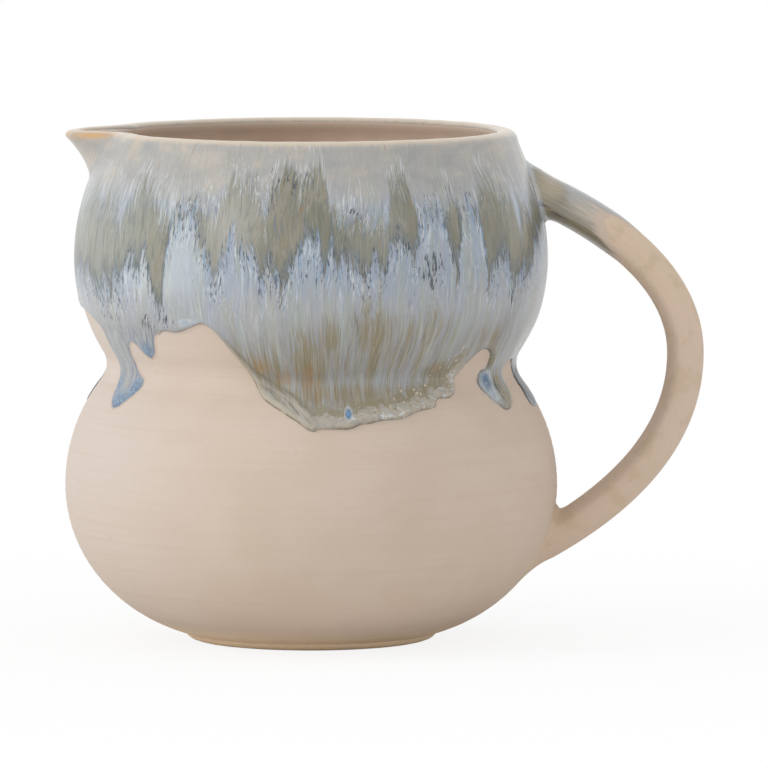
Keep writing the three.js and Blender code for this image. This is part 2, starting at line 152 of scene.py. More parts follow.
class Shell:
    """Vertices and faces of one closed piece, gathered in millimetres."""

    WELD = 1e-7

    def __init__(self) -> None:
        """Starts with no points and no faces."""
        self.points: list[Grid] = []
        self.faces: list[tuple[int, ...]] = []
        self.values: dict[str, list[Grid]] = {}

    def add_points(self, points: Grid, **values: Grid) -> int:
        """Adds points and what is known at them.

        Args:
            points: Array whose last axis is x, y, z.
            values: Arrays of one number or one vector per point, by name.

        Returns:
            Index of the first new point.
        """
        start = sum(len(p) for p in self.points)
        flat = points.reshape(-1, 3)
        self.points.append(flat)
        for name, value in values.items():
            self.values.setdefault(name, []).append(value.reshape(len(flat), -1))
        return start

    def add_faces(self, faces: Grid) -> None:
        """Adds faces of one corner count."""
        self.faces.extend(map(tuple, faces.tolist()))

    def add_loop(self, rows: Grid, **values: Grid) -> None:
        """Adds a skin that closes round its columns, and what is known at its points."""
        start = self.add_points(rows, **values)
        self.add_faces(quads_of(start + numbered(*rows.shape[:2])).reshape(-1, 4))

    def add_slab(
        self, outer: Grid, inner: Grid, faces: list[Grid], back: list[Grid], **values: Grid
    ) -> None:
        """Adds two skins that share an outline, and the wall between them along it.

        Args:
            outer: Points of the outer skin.
            inner: Points of the inner skin, in the same order.
            faces: Outer faces, as arrays of one corner count each.
            back: Faces of the inner skin before they are turned over, with the same outline.
            values: What is known at the points of either skin.
        """
        start = self.add_points(outer, **values)
        under = self.add_points(inner, **values)
        pairs = [np.stack([f, np.roll(f, -1, axis=1)], axis=-1).reshape(-1, 2) for f in faces]
        sides = np.concatenate(pairs)
        size = outer.reshape(-1, 3).shape[0]
        ways = sides[:, 0] * size + sides[:, 1]
        turned = sides[:, 1] * size + sides[:, 0]
        rim = sides[~np.isin(ways, turned)]
        for one in faces:
            self.add_faces(one + start)
        for one in back:
            self.add_faces(one[:, ::-1] + under)
        first, second = rim[:, 0], rim[:, 1]
        wall = np.stack([second + start, first + start, first + under, second + under], axis=-1)
        self.add_faces(wall)

    def make(self, name: str, crease: float | None = None) -> bpy.types.Object:
        """Makes the piece, with doubled points welded.

        Args:
            name: Name of the piece.
            crease: Angle in degrees above which an edge stays sharp, if any does.

        Returns:
            The new object, linked to the scene.
        """
        points = np.concatenate(self.points)
        used = np.unique(np.concatenate([np.array(f) for f in self.faces]))
        order = np.full(len(points), -1)
        order[used] = np.arange(len(used))
        mesh = bpy.data.meshes.new(name)
        mesh.from_pydata((points[used] * MM).tolist(), [], [tuple(order[list(f)]) for f in self.faces])
        for key, parts in self.values.items():
            value = np.concatenate(parts)[used]
            kind, slot = ("FLOAT", "value") if value.shape[1] == 1 else ("FLOAT_VECTOR", "vector")
            layer = mesh.attributes.new(key, kind, "POINT")
            layer.data.foreach_set(slot, value.astype(np.float32).ravel())
        work = bmesh.new()
        work.from_mesh(mesh)
        bmesh.ops.remove_doubles(work, verts=work.verts, dist=self.WELD)
        bmesh.ops.dissolve_degenerate(work, edges=work.edges, dist=self.WELD)
        bmesh.ops.recalc_face_normals(work, faces=work.faces)
        work.to_mesh(mesh)
        work.free()
        mesh.shade_smooth()
        if crease is not None:
            mesh.set_sharp_from_angle(angle=math.radians(crease))
        piece = bpy.data.objects.new(name, mesh)
        bpy.context.scene.collection.objects.link(piece)
        return piece


@dataclass(frozen=True)
class BodyForm:
    """The thrown body: two bulbs that meet at a waist, a straight rim and a pulled beak.

    Heights are above the table and radii from the axis. The fields without a default come from the frame.
    """

    foot_height: float
    foot_radius: float
    waist_height: float
    rim_height: float
    lower_radius: float
    upper_radius: float
    belly_height: float = 39.5
    upper_belly_height: float = 97.0
    neck_height: float = 116.0
    neck_inset: float = 3.36
    core: float = 20.0
    waist_depth: float = 9.2
    waist_rounding: float = 7.0
    wall: float = 4.5
    floor: float = 5.0
    rim_lift: float = 0.3
    rim_rounding: float = 2.2
    lip_rounding: float = 0.9
    crest_share: float = 0.6
    inner_sharpness: float = 0.35
    overhang: float = 11.7
    channel_deepening: float = 1.5
    spout_depth: float = 11.8
    spout_half_width: float = 14.0
    far_widening: float = 4.0
    far_lift: float = 0.34
    far_place: float = -113.0
    far_spread: float = 16.0
    channel_inset: float = 2.4
    droop: float = 0.1
    flare: float = 1.35
    roundness: float = 1.4
    root_narrowing: float = 0.6
    pinch_depth: float = 0.9
    pinch_place: float = 18.2
    pinch_spread: float = 4.9

    @classmethod
    def from_frame(cls) -> "BodyForm":
        """Reads the outer sizes from the frame.

        Returns:
            The body's form.
        """
        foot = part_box("foot")[1] / MM
        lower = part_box("lower_bowl")[1] / MM
        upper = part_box("upper_bowl")[1] / MM
        return cls(foot.z, foot.y, lower.z, upper.z + cls.rim_lift, lower.y, upper.y)

    @property
    def waist_radius(self) -> float:
        """Radius where the two bulbs would cross."""
        return self.upper_radius - self.waist_depth

    @property
    def floor_height(self) -> float:
        """Height of the clay floor inside."""
        return self.foot_height + self.floor

    def half_height(self, along: float, across: float, width: float) -> float:
        """Half height of an ellipse, from one point on it and its half width."""
        return along / math.sqrt(1 - (across / width) ** 2)

    def arc(self, height: Grid, middle: float, below: float, above: float, width: float) -> Grid:
        """Radius of one bulb, from its widest ring, its half heights and its reach past the core."""
        half = np.where(height < middle, below, above)
        return self.core + width * np.sqrt(np.clip(1 - ((height - middle) / half) ** 2, 0, None))

    def radius(self, height: Grid) -> Grid:
        """Outer radius of the body without its beak.

        Args:
            height: Heights to work out.

        Returns:
            Radii at those heights.
        """
        height = np.asarray(height, float)
        low_width = self.lower_radius - self.core
        up_width = self.upper_radius - self.core
        foot = self.foot_radius - self.core
        waist = self.waist_radius - self.core
        neck = self.upper_radius - self.neck_inset - self.core
        neck_rise = self.neck_height - self.upper_belly_height
        low_below = self.half_height(self.belly_height - self.foot_height, foot, low_width)
        low_above = self.half_height(self.waist_height - self.belly_height, waist, low_width)
        up_below = self.half_height(self.upper_belly_height - self.waist_height, waist, up_width)
        up_above = self.half_height(neck_rise, neck, up_width)
        lower = self.arc(height, self.belly_height, low_below, low_above, low_width)
        upper = self.arc(height, self.upper_belly_height, up_below, up_above, up_width)
        slope = -neck_rise / neck * (up_width / up_above) ** 2
        straight = self.core + neck + slope * (height - self.neck_height)
        upper = np.where(height > self.neck_height, straight, upper)
        blend = np.clip(self.waist_rounding - np.abs(lower - upper), 0, None) / self.waist_rounding
        return np.maximum(lower, upper) + blend**2 * self.waist_rounding / 4

    def beak(self, degrees: Grid, height: Grid, half_width: float) -> tuple[Grid, Grid]:
        """How far the beak is out, and how much the fingers pinched the rim beside it.

        Args:
            degrees: Angles round the jug.
            height: Heights.
            half_width: Half the beak's width at the rim.

        Returns:
            Shares of the full beak, and pinches in millimetres.
        """
        from_axis = wrapped(np.asarray(degrees) + 90)
        away, far = np.radians(np.abs(from_axis)), smoothstep(4, -4, from_axis)
        rise = np.clip(1 - (self.rim_height - height) / self.spout_depth, 0, 1)
        rim_radius = float(self.radius(self.rim_height)) - self.wall / 2
        reach = (half_width + self.far_widening * far) / rim_radius
        spread = reach * (self.root_narrowing + (1 - self.root_narrowing) * rise)
        share = np.cos(np.pi / 2 * np.minimum(1, away / spread)) ** self.roundness
        beside = (away * rim_radius - self.pinch_place) / self.pinch_spread
        pinch = self.pinch_depth * rise * np.exp(-(beside**2))
        return rise**self.flare * np.clip(share, 0, 1), pinch * (1 - far)

    def outer(self, degrees: Grid, height: Grid) -> Grid:
        """Outer radius of the clay, beak included."""
        share, pinch = self.beak(degrees, height, self.spout_half_width)
        return self.radius(height) + self.overhang * share - pinch

    def inner(self, degrees: Grid, height: Grid) -> Grid:
        """Inner radius of the upper wall, channel included."""
        share, pinch = self.beak(degrees, height, self.spout_half_width - self.channel_inset)
        return self.radius(height) - self.wall + (self.overhang + self.channel_deepening) * share - pinch

    def rim(self, degrees: Grid) -> tuple[Grid, Grid]:
        """Middle height and rounding of the rim.

        Args:
            degrees: Angles round the jug.

        Returns:
            Heights of the rim's middle and its half heights.
        """
        share, _ = self.beak(degrees, self.rim_height, self.spout_half_width)
        rounding = self.rim_rounding + (self.lip_rounding - self.rim_rounding) * share
        from_far = wrapped(np.asarray(degrees) - self.far_place) / self.far_spread
        lift = self.far_lift * np.exp(-(from_far**2))
        return self.rim_height + lift - self.droop * share - rounding, rounding

    def rim_arc(self, degrees: Grid, turns: Grid) -> tuple[Grid, Grid]:
        """Radii and heights over the rim.

        Args:
            degrees: Angles round the jug.
            turns: Angles over the rim in radians, 0 at the outside and pi at the inside.

        Returns:
            Radii and heights by turn and angle.
        """
        middle, rounding = self.rim(degrees)
        outside, inside = self.outer(degrees, middle), self.inner(degrees, middle)
        turns = turns[:, None]
        out, lean, rise = turns < np.pi / 2, np.cos(turns), np.abs(np.sin(turns))
        share = np.where(out, self.crest_share * (1 - lean), 1 - (1 - self.crest_share) * (1 + lean))
        climb = np.where(out, rise, rise**self.inner_sharpness)
        return outside - (outside - inside) * share, middle + rounding * climb

    def lower_inner(self, height: Grid) -> Grid:
        """Inner radius of the lower bulb.

        Args:
            height: Heights above the floor.

        Returns:
            Radii at those heights.
        """
        depth = self.belly_height - self.floor_height
        reach = self.lower_radius - self.core - self.wall
        rise = np.clip((self.belly_height - np.asarray(height, float)) / depth, 0, 1)
        bowl = self.core + reach * np.sqrt(1 - rise**2)
        return np.where(height < self.belly_height, bowl, self.radius(height) - self.wall)


def around(degrees: Grid, radius: Grid, height: Grid) -> Grid:
    """Points from angles round the jug, distances from the axis and heights."""
    turn = np.radians(degrees)
    return np.stack(np.broadcast_arrays(radius * np.sin(turn), -radius * np.cos(turn), height), axis=-1)


def normals(points: Grid) -> Grid:
    """Directions out of a skin that closes round its columns.

    Args:
        points: Points by row and column, rising outside and with angles that grow.

    Returns:
        Unit vectors in the same order.
    """
    along = np.roll(points, -1, axis=1) - np.roll(points, 1, axis=1)
    up = np.gradient(points, axis=0)
    out = np.cross(along, up)
    return out / np.maximum(np.linalg.norm(out, axis=-1, keepdims=True), 1e-9)


class Graph:
    """Node tree of one finish, with short calls for what the finishes use."""

    STREAK_GAIN = 5.2

    def __init__(self, name: str) -> None:
        """Starts a material with its surface shader.

        Args:
            name: Name of the material.
        """
        self.material = bpy.data.materials.new(name)
        self.material.use_nodes = True
        self.tree = self.material.node_tree
        self.shader = self.tree.nodes["Principled BSDF"]

    def node(self, kind: str, **inputs: object) -> bpy.types.Node:
        """Adds a node.

        Args:
            kind: Type of the node.
            inputs: Values or sockets for its inputs, by name with underscores for spaces.

        Returns:
            The node.
        """
        made = self.tree.nodes.new(kind)
        for key, value in inputs.items():
            self.put(made.inputs[key.replace("_", " ")], value)
        return made

    def put(self, target: Socket, value: object) -> None:
        """Sets a socket to a value or links one to it.

        Args:
            target: Input to fill.
            value: The value, or the socket to link.
        """
        if isinstance(value, Socket):
            self.tree.links.new(value, target)
        else:
            target.default_value = value

    def number(self, name: str) -> Socket:
        """Reads a number that the mesh holds at its points."""
        return self.attribute(name).outputs["Fac"]

    def place(self, name: str) -> Socket:
        """Reads a vector that the mesh holds at its points."""
        return self.attribute(name).outputs["Vector"]

    def attribute(self, name: str) -> bpy.types.Node:
        """Adds a node that reads what the mesh holds at its points.

        Args:
            name: Name of the mesh's layer.

        Returns:
            The node.
        """
        made = self.node("ShaderNodeAttribute")
        made.attribute_name = name
        return made

    def spot(self) -> Socket:
        """Reads where a point lies in the jug's frame, in millimetres."""
        return self.stretch(self.node("ShaderNodeTexCoord").outputs["Object"], (1 / MM,) * 3)

    def apart(self, value: object, middle: float) -> Socket:
        """Distance of a value from another."""
        return self.math("ABSOLUTE", self.math("SUBTRACT", value, middle))

    def math(self, kind: str, first: object, second: object = 0.0, third: object = 0.0) -> Socket:
        """Adds a sum or other operation.

        Args:
            kind: Name of the operation.
            first: First value or socket.
            second: Second value or socket.
            third: Third value or socket.

        Returns:
            The result.
        """
        made = self.node("ShaderNodeMath")
        made.operation = kind
        for target, value in zip(made.inputs, (first, second, third)):
            self.put(target, value)
        return made.outputs[0]

    def sum(self, *terms: tuple[object, float]) -> Socket:
        """Adds up sockets.

        Args:
            terms: Sockets, each with its weight.

        Returns:
            The sum.
        """
        total: object = 0.0
        for value, weight in terms:
            total = self.math("MULTIPLY_ADD", value, weight, total)
        return total

    def times(self, *factors: object) -> Socket:
        """Multiplies values or sockets.

        Args:
            factors: What to multiply, in order.

        Returns:
            The product.
        """
        total = factors[0]
        for value in factors[1:]:
            total = self.math("MULTIPLY", total, value)
        return total

    def ease(
        self, value: object, low: float, high: float, to_low: float = 0.0, to_high: float = 1.0
    ) -> Socket:
        """Eased ramp between two values.

        Args:
            value: Socket to map.
            low: Value where the ramp starts.
            high: Value where it ends.
            to_low: Result at the start.
            to_high: Result at the end.

        Returns:
            The mapped socket.
        """
        if low > high:
            low, high, to_low, to_high = high, low, to_high, to_low
        made = self.node("ShaderNodeMapRange")
        made.interpolation_type = "SMOOTHSTEP"
        for target, given in zip(made.inputs, (value, low, high, to_low, to_high)):
            self.put(target, given)
        return made.outputs[0]

    def stretch(self, vector: object, scale: tuple[float, float, float]) -> Socket:
        """Scales a vector by axis."""
        return self.vector("MULTIPLY", vector, scale)

    def shift(self, vector: object, other: object) -> Socket:
        """Adds two vectors."""
        return self.vector("ADD", vector, other)

    def vector(self, kind: str, first: object, second: object) -> Socket:
        """Adds an operation on two vectors.

        Args:
            kind: Name of the operation.
            first: First vector or socket.
            second: Second vector or socket.

        Returns:
            The result.
        """
        made = self.node("ShaderNodeVectorMath")
        made.operation = kind
        self.put(made.inputs[0], first)
        self.put(made.inputs[1], second)
        return made.outputs[0]

    def noise(
        self, vector: object, detail: float = 2.0, rough: float = 0.5, colour: bool = False
    ) -> Socket:
        """Adds smooth noise about one half with cells of size one, or three of it as a colour."""
        made = self.node("ShaderNodeTexNoise", Vector=vector, Scale=1.0, Detail=detail, Roughness=rough)
        return made.outputs["Color" if colour else 0]

    def streak(self, course: object, size: Streak) -> Socket:
        """Adds streaks that run down a course.

        Args:
            course: Where to read them, in millimetres.
            size: Which marks.

        Returns:
            Values about 0, mostly from -1 to 1.
        """
        width, length = size.value
        made = self.noise(self.stretch(course, (1 / width, 1 / width, 1 / length)), 3, 0.6)
        return self.math("MULTIPLY_ADD", made, self.STREAK_GAIN, -self.STREAK_GAIN / 2)

    def mix(self, share: object, low: object, high: object) -> Socket:
        """Mixes two colours.

        Args:
            share: How much of the second.
            low: First colour or socket.
            high: Second colour or socket.

        Returns:
            The mixed colour.
        """
        made = self.tree.nodes.new("ShaderNodeMix")
        made.data_type = "RGBA"
        self.put(made.inputs[0], share)
        for target, value in ((made.inputs[6], low), (made.inputs[7], high)):
            self.put(target, value if isinstance(value, Socket) else linear(value))
        return made.outputs[2]

    def lay(self, tone: object, colour: object, *shares: object) -> Socket:
        """Lays a colour over the colour so far, by the product of the shares."""
        return self.mix(self.times(*shares), tone, colour)

    def ramp(self, value: object, low: float, high: float, stops: list[tuple[float, Colour]]) -> Socket:
        """Colours by a value.

        Args:
            value: Socket to read.
            low: Value at the ramp's start.
            high: Value at the ramp's end.
            stops: Values and their colours, in order.

        Returns:
            The colour.
        """
        made = self.node("ShaderNodeValToRGB")
        share = self.node("ShaderNodeMapRange")
        for target, given in zip(share.inputs, (value, low, high)):
            self.put(target, given)
        self.put(made.inputs[0], share.outputs[0])
        band = made.color_ramp
        for _ in stops[len(band.elements) :]:
            band.elements.new(0.5)
        for element, (at, colour) in zip(band.elements, stops):
            element.position = (at - low) / (high - low)
            element.color = linear(colour)
        return made.outputs[0]

    def scaled(self, vector: object, share: object) -> Socket:
        """Scales a vector by a number.

        Args:
            vector: Socket to scale.
            share: Number or socket to scale it by.

        Returns:
            The scaled vector.
        """
        made = self.node("ShaderNodeVectorMath")
        made.operation = "SCALE"
        self.put(made.inputs[0], vector)
        self.put(made.inputs["Scale"], share)
        return made.outputs[0]

    def part(self, vector: object, axis: str) -> Socket:
        """One part of a vector."""
        return self.node("ShaderNodeSeparateXYZ", Vector=vector).outputs[axis]

    def bump(self, height: object, strength: float, distance: float) -> None:
        """Gives the shader a fine relief, from heights of 0 to 1, its share and its depth in metres."""
        made = self.node("ShaderNodeBump", Height=height, Strength=strength, Distance=distance)
        self.put(self.shader.inputs["Normal"], made.outputs[0])


@dataclass(frozen=True)
class ClayFinish:
    """Bare stoneware: warm, matte, with throwing lines, faint clouds and specks, and painted light and
    shade: a paler lit side, a lifted foot, a darker lower body and, on the handle's copy, a paler upper
    part.
    """

    base: Colour = (207, 189, 173)
    pale: Colour = (211, 194, 179)
    # Painted light: paler, less yellow clay for the side that faces the key lamp
    lit_side_pale: Colour = (209, 198, 189)
    warm: Colour = (196, 175, 152)
    speck: Colour = (150, 128, 104)
    # Painted bounce light: pale warm colour that lifts the foot out of the shade under the body
    foot: Colour = (255, 230, 198)
    # Painted light: paler colour laid over the upper part of the handle
    upper_light_colour: Colour = (222, 199, 172)
    upper_lightening: float = 0.0
    lines: float = 1.0
    mottling: float = 0.0
    roughness: float = 0.82
    low_warmth_and_shade_heights: Span = (60, 0)
    foot_painted_light_heights: Span = (7, 0.5)
    upper_light_heights: Span = (66, 104)
    lit_side_places: Span = (-15, -55)

    def material(self, name: str = "bare_clay") -> bpy.types.Material:
        """Makes the finish's material.

        Args:
            name: Name of the material.

        Returns:
            The material.
        """
        g = Graph(name)
        mm = g.spot()
        cloud = g.noise(g.stretch(mm, (0.05, 0.05, 0.07)), 3, 0.55)
        line = g.noise(g.stretch(mm, (0.015, 0.015, 1.1)), 3, 0.6)
        grit = g.noise(g.stretch(mm, (2.4,) * 3), 2, 0.6)
        fleck = g.noise(g.stretch(mm, (0.9,) * 3), 1, 0.5)
        height = g.part(mm, "Z")
        tone = g.mix(g.ease(cloud, 0.36, 0.66), self.base, self.pale)
        # Painted light: the side towards -X, where the key lamp stands, is laid paler and less yellow
        tone = g.lay(tone, self.lit_side_pale, g.ease(g.part(mm, "X"), *self.lit_side_places, 0.0, 0.8))
        # Darker and warmer towards the bottom: partly the clay's own warmth, partly painted shade
        tone = g.lay(tone, self.warm, g.ease(height, *self.low_warmth_and_shade_heights), 0.3)
        # Painted bounce light: the lowest few millimetres are laid pale and warm against the shade under
        # the body
        tone = g.lay(tone, self.foot, g.ease(height, *self.foot_painted_light_heights))
        # Painted light: the handle is laid paler from its middle up; only the handle's copy of the clay
        # uses it
        tone = g.lay(tone, self.upper_light_colour, g.ease(height, *self.upper_light_heights), self.upper_lightening)
        mottle = g.noise(g.stretch(mm, (0.17,) * 3), 3, 0.6)
        tone = g.lay(tone, self.warm, g.ease(mottle, 0.5, 0.64), self.mottling)
        tone = g.lay(tone, self.warm, g.ease(line, 0.42, 0.7), 0.16 * self.lines)
        tone = g.lay(tone, self.warm, g.ease(grit, 0.55, 0.75), 0.18)
        tone = g.lay(tone, self.speck, g.ease(fleck, 0.71, 0.78), 0.13)
        g.put(g.shader.inputs["Base Color"], tone)
        g.put(g.shader.inputs["Roughness"], self.roughness)
        g.bump(g.sum((line, 0.7 * self.lines), (grit, 0.5)), 0.18, 0.00025)
        return g.material


@dataclass(frozen=True)
class LinerFinish:
    """Thin clear glaze over the clay inside: brown and satin, laid darker near the rim as painted shade.
    """

    base: Colour = (237, 217, 199)
    deep: Colour = (215, 195, 177)
    # Painted shade: darker colour for the top of the inside, which lies in shade
    lip: Colour = (182, 162, 144)
    channel: Colour = (218, 205, 191)
    channel_places: Span = (-44, -51)
    roughness: float = 0.42

    def material(self) -> bpy.types.Material:
        """Makes the finish's material.

        Returns:
            The material.
        """
        g = Graph("clear_glaze")
        mm = g.spot()
        cloud = g.noise(g.stretch(mm, (0.04, 0.04, 0.09)), 3, 0.6)
        line = g.noise(g.stretch(mm, (0.02, 0.02, 0.9)), 2, 0.5)
        tone = g.mix(g.ease(cloud, 0.35, 0.65), self.base, self.deep)
        tone = g.lay(tone, self.deep, g.ease(line, 0.4, 0.7), 0.25)
        drop = g.number("drop")
        # Painted shade: the liner is laid darker within a few millimetres of the rim
        tone = g.lay(tone, self.lip, g.ease(drop, 6, 1))
        beak = g.times(g.ease(g.part(mm, "X"), *self.channel_places), g.ease(drop, 8, 3))
        tone = g.lay(tone, self.channel, beak)
        g.put(g.shader.inputs["Base Color"], tone)
        g.put(g.shader.inputs["Roughness"], g.ease(line, 0.3, 0.7, self.roughness, self.roughness + 0.08))
        g.bump(line, 0.12, 0.0003)
        return g.material


@dataclass(frozen=True)
class Flow:
    """What the run glaze's colours are made from: where it flowed, and its streaks, as sockets about 0."""

    place: object
    height: object
    strand: object
    fine: object
    hair: object
    second: object
    nick: object
    glass: object


@dataclass(frozen=True)
class RunGlazeFinish:
    """Reactive glaze: pale grey-blue milk that flowed over an olive glass and broke into strands."""

    cream: Colour = (212, 196, 174)
    amber: Colour = (208, 162, 104)
    rim_grey: Colour = (170, 168, 164)
    milk: Colour = (166, 169, 171)
    milk_blue: Colour = (158, 168, 181)
    lilac: Colour = (166, 169, 183)
    celadon: Colour = (164, 171, 162)
    white: Colour = (218, 224, 230)
    frost: Colour = (205, 211, 211)
    sky: Colour = (132, 158, 188)
    steel: Colour = (104, 118, 140)
    slate: Colour = (66, 74, 84)
    tan: Colour = (146, 141, 124)
    olive: Colour = (128, 125, 107)
    moss: Colour = (108, 112, 96)
    sage: Colour = (152, 156, 147)
    deep: Colour = (92, 104, 112)
    stone: Colour = (153, 154, 155)
    pearl: Colour = (178, 177, 171)
    ochre: Colour = (138, 126, 94)
    umber: Colour = (112, 102, 74)
    rust: Colour = (156, 118, 66)
    crust: Colour = (184, 175, 158)
    rind: Colour = (104, 92, 74)
    pool: Colour = (80, 115, 146)
    cobalt: Colour = (80, 148, 212)
    feather: Colour = (208, 190, 174)
    roughness: float = 0.16
    bare_roughness: float = 0.7
    waist_shade_height: float = 71.4
    bright_right: Span = (-22, -30)
    bright_left: Span = (-46, -38)
    crumb_places: Span = (16, 26)

    def material(self) -> bpy.types.Material:
        """Makes the finish's material.

        Returns:
            The material.
        """
        g = Graph("run_glaze")
        place = g.place("flow")
        height = g.part(place, "Z")
        sway = g.noise(g.stretch(place, (0.08, 0.08, 0.06)), 1, 0.5, colour=True)
        sway = g.stretch(g.shift(sway, (-0.5, -0.5, -0.5)), (5.0, 5.0, 0.0))
        course = g.shift(place, g.scaled(sway, g.ease(height, 74, 92, 0.2, 1.0)))
        strand, fine, hair = (g.streak(course, size) for size in (Streak.STRAND, Streak.FINE, Streak.HAIR))
        second = g.streak(g.shift(course, (37.0, 11.0, 5.0)), Streak.FINE)
        nick = g.streak(g.shift(course, (3.0, 29.0, 13.0)), Streak.NICK)
        wisp = g.times(hair, g.ease(g.number("sink"), 1.0, 2.6, 0.4, 0.9))
        closed = g.ease(height, 120, 127)
        glass = g.sum((g.number("window"), 1.0), (strand, 0.6), (fine, 0.6), (wisp, 1.0), (closed, -0.8))
        flow = Flow(place, height, strand, fine, hair, second, nick, glass)
        tone = self.milky(g, flow)
        tone = self.glassy(g, tone, flow)
        tone = self.apron(g, tone, flow)
        tone = self.crusted(g, tone, flow)
        tone, bare = self.margins(g, tone, flow)
        g.put(g.shader.inputs["Base Color"], tone)
        gloss = g.ease(fine, -1.0, 1.0, self.roughness, self.roughness + 0.1)
        g.put(g.shader.inputs["Roughness"], g.sum((gloss, 1.0), (bare, self.bare_roughness)))
        g.put(g.shader.inputs["Specular IOR Level"], g.ease(g.number("dash"), 1.0, 1.25, 0.5, 0.04))
        g.bump(g.sum((fine, 0.14), (hair, 0.06)), 0.12, 0.0004)
        return g.material

    def milky(self, g: Graph, flow: Flow) -> object:
        """Colours the pale milk, with white, blue and steel lines where it breaks.

        Args:
            g: The finish's graph.
            flow: The glaze's course and streaks.

        Returns:
            The colour.
        """
        stops = [
            (60, self.stone),
            (80, self.stone),
            (88, self.milk),
            (97, self.milk_blue),
            (108, self.milk_blue),
            (117, self.milk),
            (123, self.rim_grey),
            (130, self.rim_grey),
        ]
        tone = g.ramp(flow.height, 55, 130, stops)
        hue = g.noise(g.stretch(flow.place, (0.34, 0.34, 0.04)), 2, 0.5)
        tint = g.noise(g.stretch(g.shift(flow.place, (19.0, 7.0, 3.0)), (0.42, 0.42, 0.05)), 2, 0.5)
        haze = g.ease(flow.height, 80, 92, 0.2, 0.55)
        tone = g.lay(tone, self.lilac, g.ease(hue, 0.5, 0.64), haze)
        tone = g.lay(tone, self.celadon, g.ease(tint, 0.5, 0.64), 0.65)
        tone = g.lay(tone, self.rim_grey, g.ease(hue, 0.47, 0.36), 0.5)
        band = g.times(g.ease(flow.height, 79, 91, 0.4, 1.0), g.ease(flow.height, 121, 112, 0.1, 1.0))
        near = g.times(band, g.ease(flow.glass, -2.2, -0.2, 0.38, 1.0))
        tone = g.lay(tone, self.sky, near, g.ease(flow.second, 0.0, 1.0), 0.7)
        tone = g.lay(tone, self.white, near, g.ease(flow.fine, 0.0, 0.9), 0.72)
        tone = g.lay(tone, self.white, near, g.ease(flow.hair, 0.25, 0.9), 0.6)
        tone = g.lay(tone, self.steel, near, g.ease(flow.second, -0.3, -0.95), 0.7)
        tone = g.lay(tone, self.steel, near, g.ease(flow.nick, 0.65, 1.1), 0.65)
        across = g.part(flow.place, "X")
        bright = g.times(g.ease(across, *self.bright_right), g.ease(across, *self.bright_left))
        bright = g.times(bright, g.ease(flow.height, 112, 106))
        tone = g.lay(tone, self.frost, bright, g.ease(flow.height, 88, 95), 0.4)
        crown = g.ease(flow.height, 113, 121)
        tone = g.lay(tone, self.rim_grey, crown, 0.75)
        blot = g.noise(g.stretch(flow.place, (0.11, 0.11, 0.2)), 3, 0.55)
        tone = g.lay(tone, self.cream, crown, g.ease(blot, 0.48, 0.72), 0.42)
        tone = g.lay(tone, self.stone, crown, g.ease(blot, 0.48, 0.34), 0.5)
        tone = g.lay(tone, self.stone, crown, g.ease(flow.second, 0.1, 1.1), 0.35)
        return g.lay(tone, self.white, crown, g.ease(flow.hair, 0.1, 1.0), 0.12)

    def glassy(self, g: Graph, tone: object, flow: Flow) -> object:
        """Opens the windows of olive glass: tan at heart, mossy at the sides and slate at the feet.

        Args:
            g: The finish's graph.
            tone: Colour so far.
            flow: The glaze's course and streaks.

        Returns:
            The colour.
        """
        cloud = g.noise(g.stretch(flow.place, (0.13, 0.13, 0.05)), 2, 0.5)
        sink = g.number("sink")
        body = g.mix(g.ease(cloud, 0.4, 0.6), self.olive, self.tan)
        body = g.lay(body, self.tan, g.ease(g.sum((sink, 1.0), (flow.fine, 0.3)), 2.0, 3.6), 0.6)
        body = g.lay(body, self.sage, g.ease(g.part(flow.place, "X"), -32, -42), 0.8)
        body = g.lay(body, self.moss, g.ease(flow.glass, 0.9, 0.1), 0.6)
        feet = g.ease(g.sum((sink, 1.0), (flow.fine, 0.35)), 1.5, -0.1)
        body = g.lay(body, self.deep, feet, 0.7)
        body = g.lay(body, self.moss, g.ease(flow.second, -0.1, 0.8), 0.6)
        body = g.lay(body, self.stone, g.ease(flow.hair, 0.0, 0.9), 0.5)
        body = g.lay(body, self.deep, g.ease(flow.nick, 0.3, 1.1), 0.4)
        body = g.lay(body, self.pearl, g.number("veil"), g.ease(flow.fine, -0.8, 0.8, 0.6, 1.0))
        width = g.ease(sink, 0.5, 2.4, 0.3, 0.65)
        tone = g.lay(tone, body, g.ease(g.math("DIVIDE", flow.glass, width), -1, 1))
        tip = g.times(g.ease(sink, 0.8, 2.4), g.ease(flow.glass, 1.8, 0.6), g.ease(flow.glass, -1.6, -0.5))
        tone = g.lay(tone, self.white, tip, g.ease(flow.hair, 0.1, 0.7), 0.55)
        tone = g.lay(tone, self.steel, tip, g.ease(flow.hair, -0.2, -0.8), 0.5)
        low = g.ease(sink, 1.6, 0.5)
        edge = g.ease(g.apart(flow.glass, -0.2), 1.3, 0.3)
        tone = g.lay(tone, self.sky, edge, low, g.ease(flow.second, 0.1, 0.9), 0.6)
        return g.lay(tone, self.slate, edge, low, g.ease(flow.nick, 0.12, 0.65), 0.78)

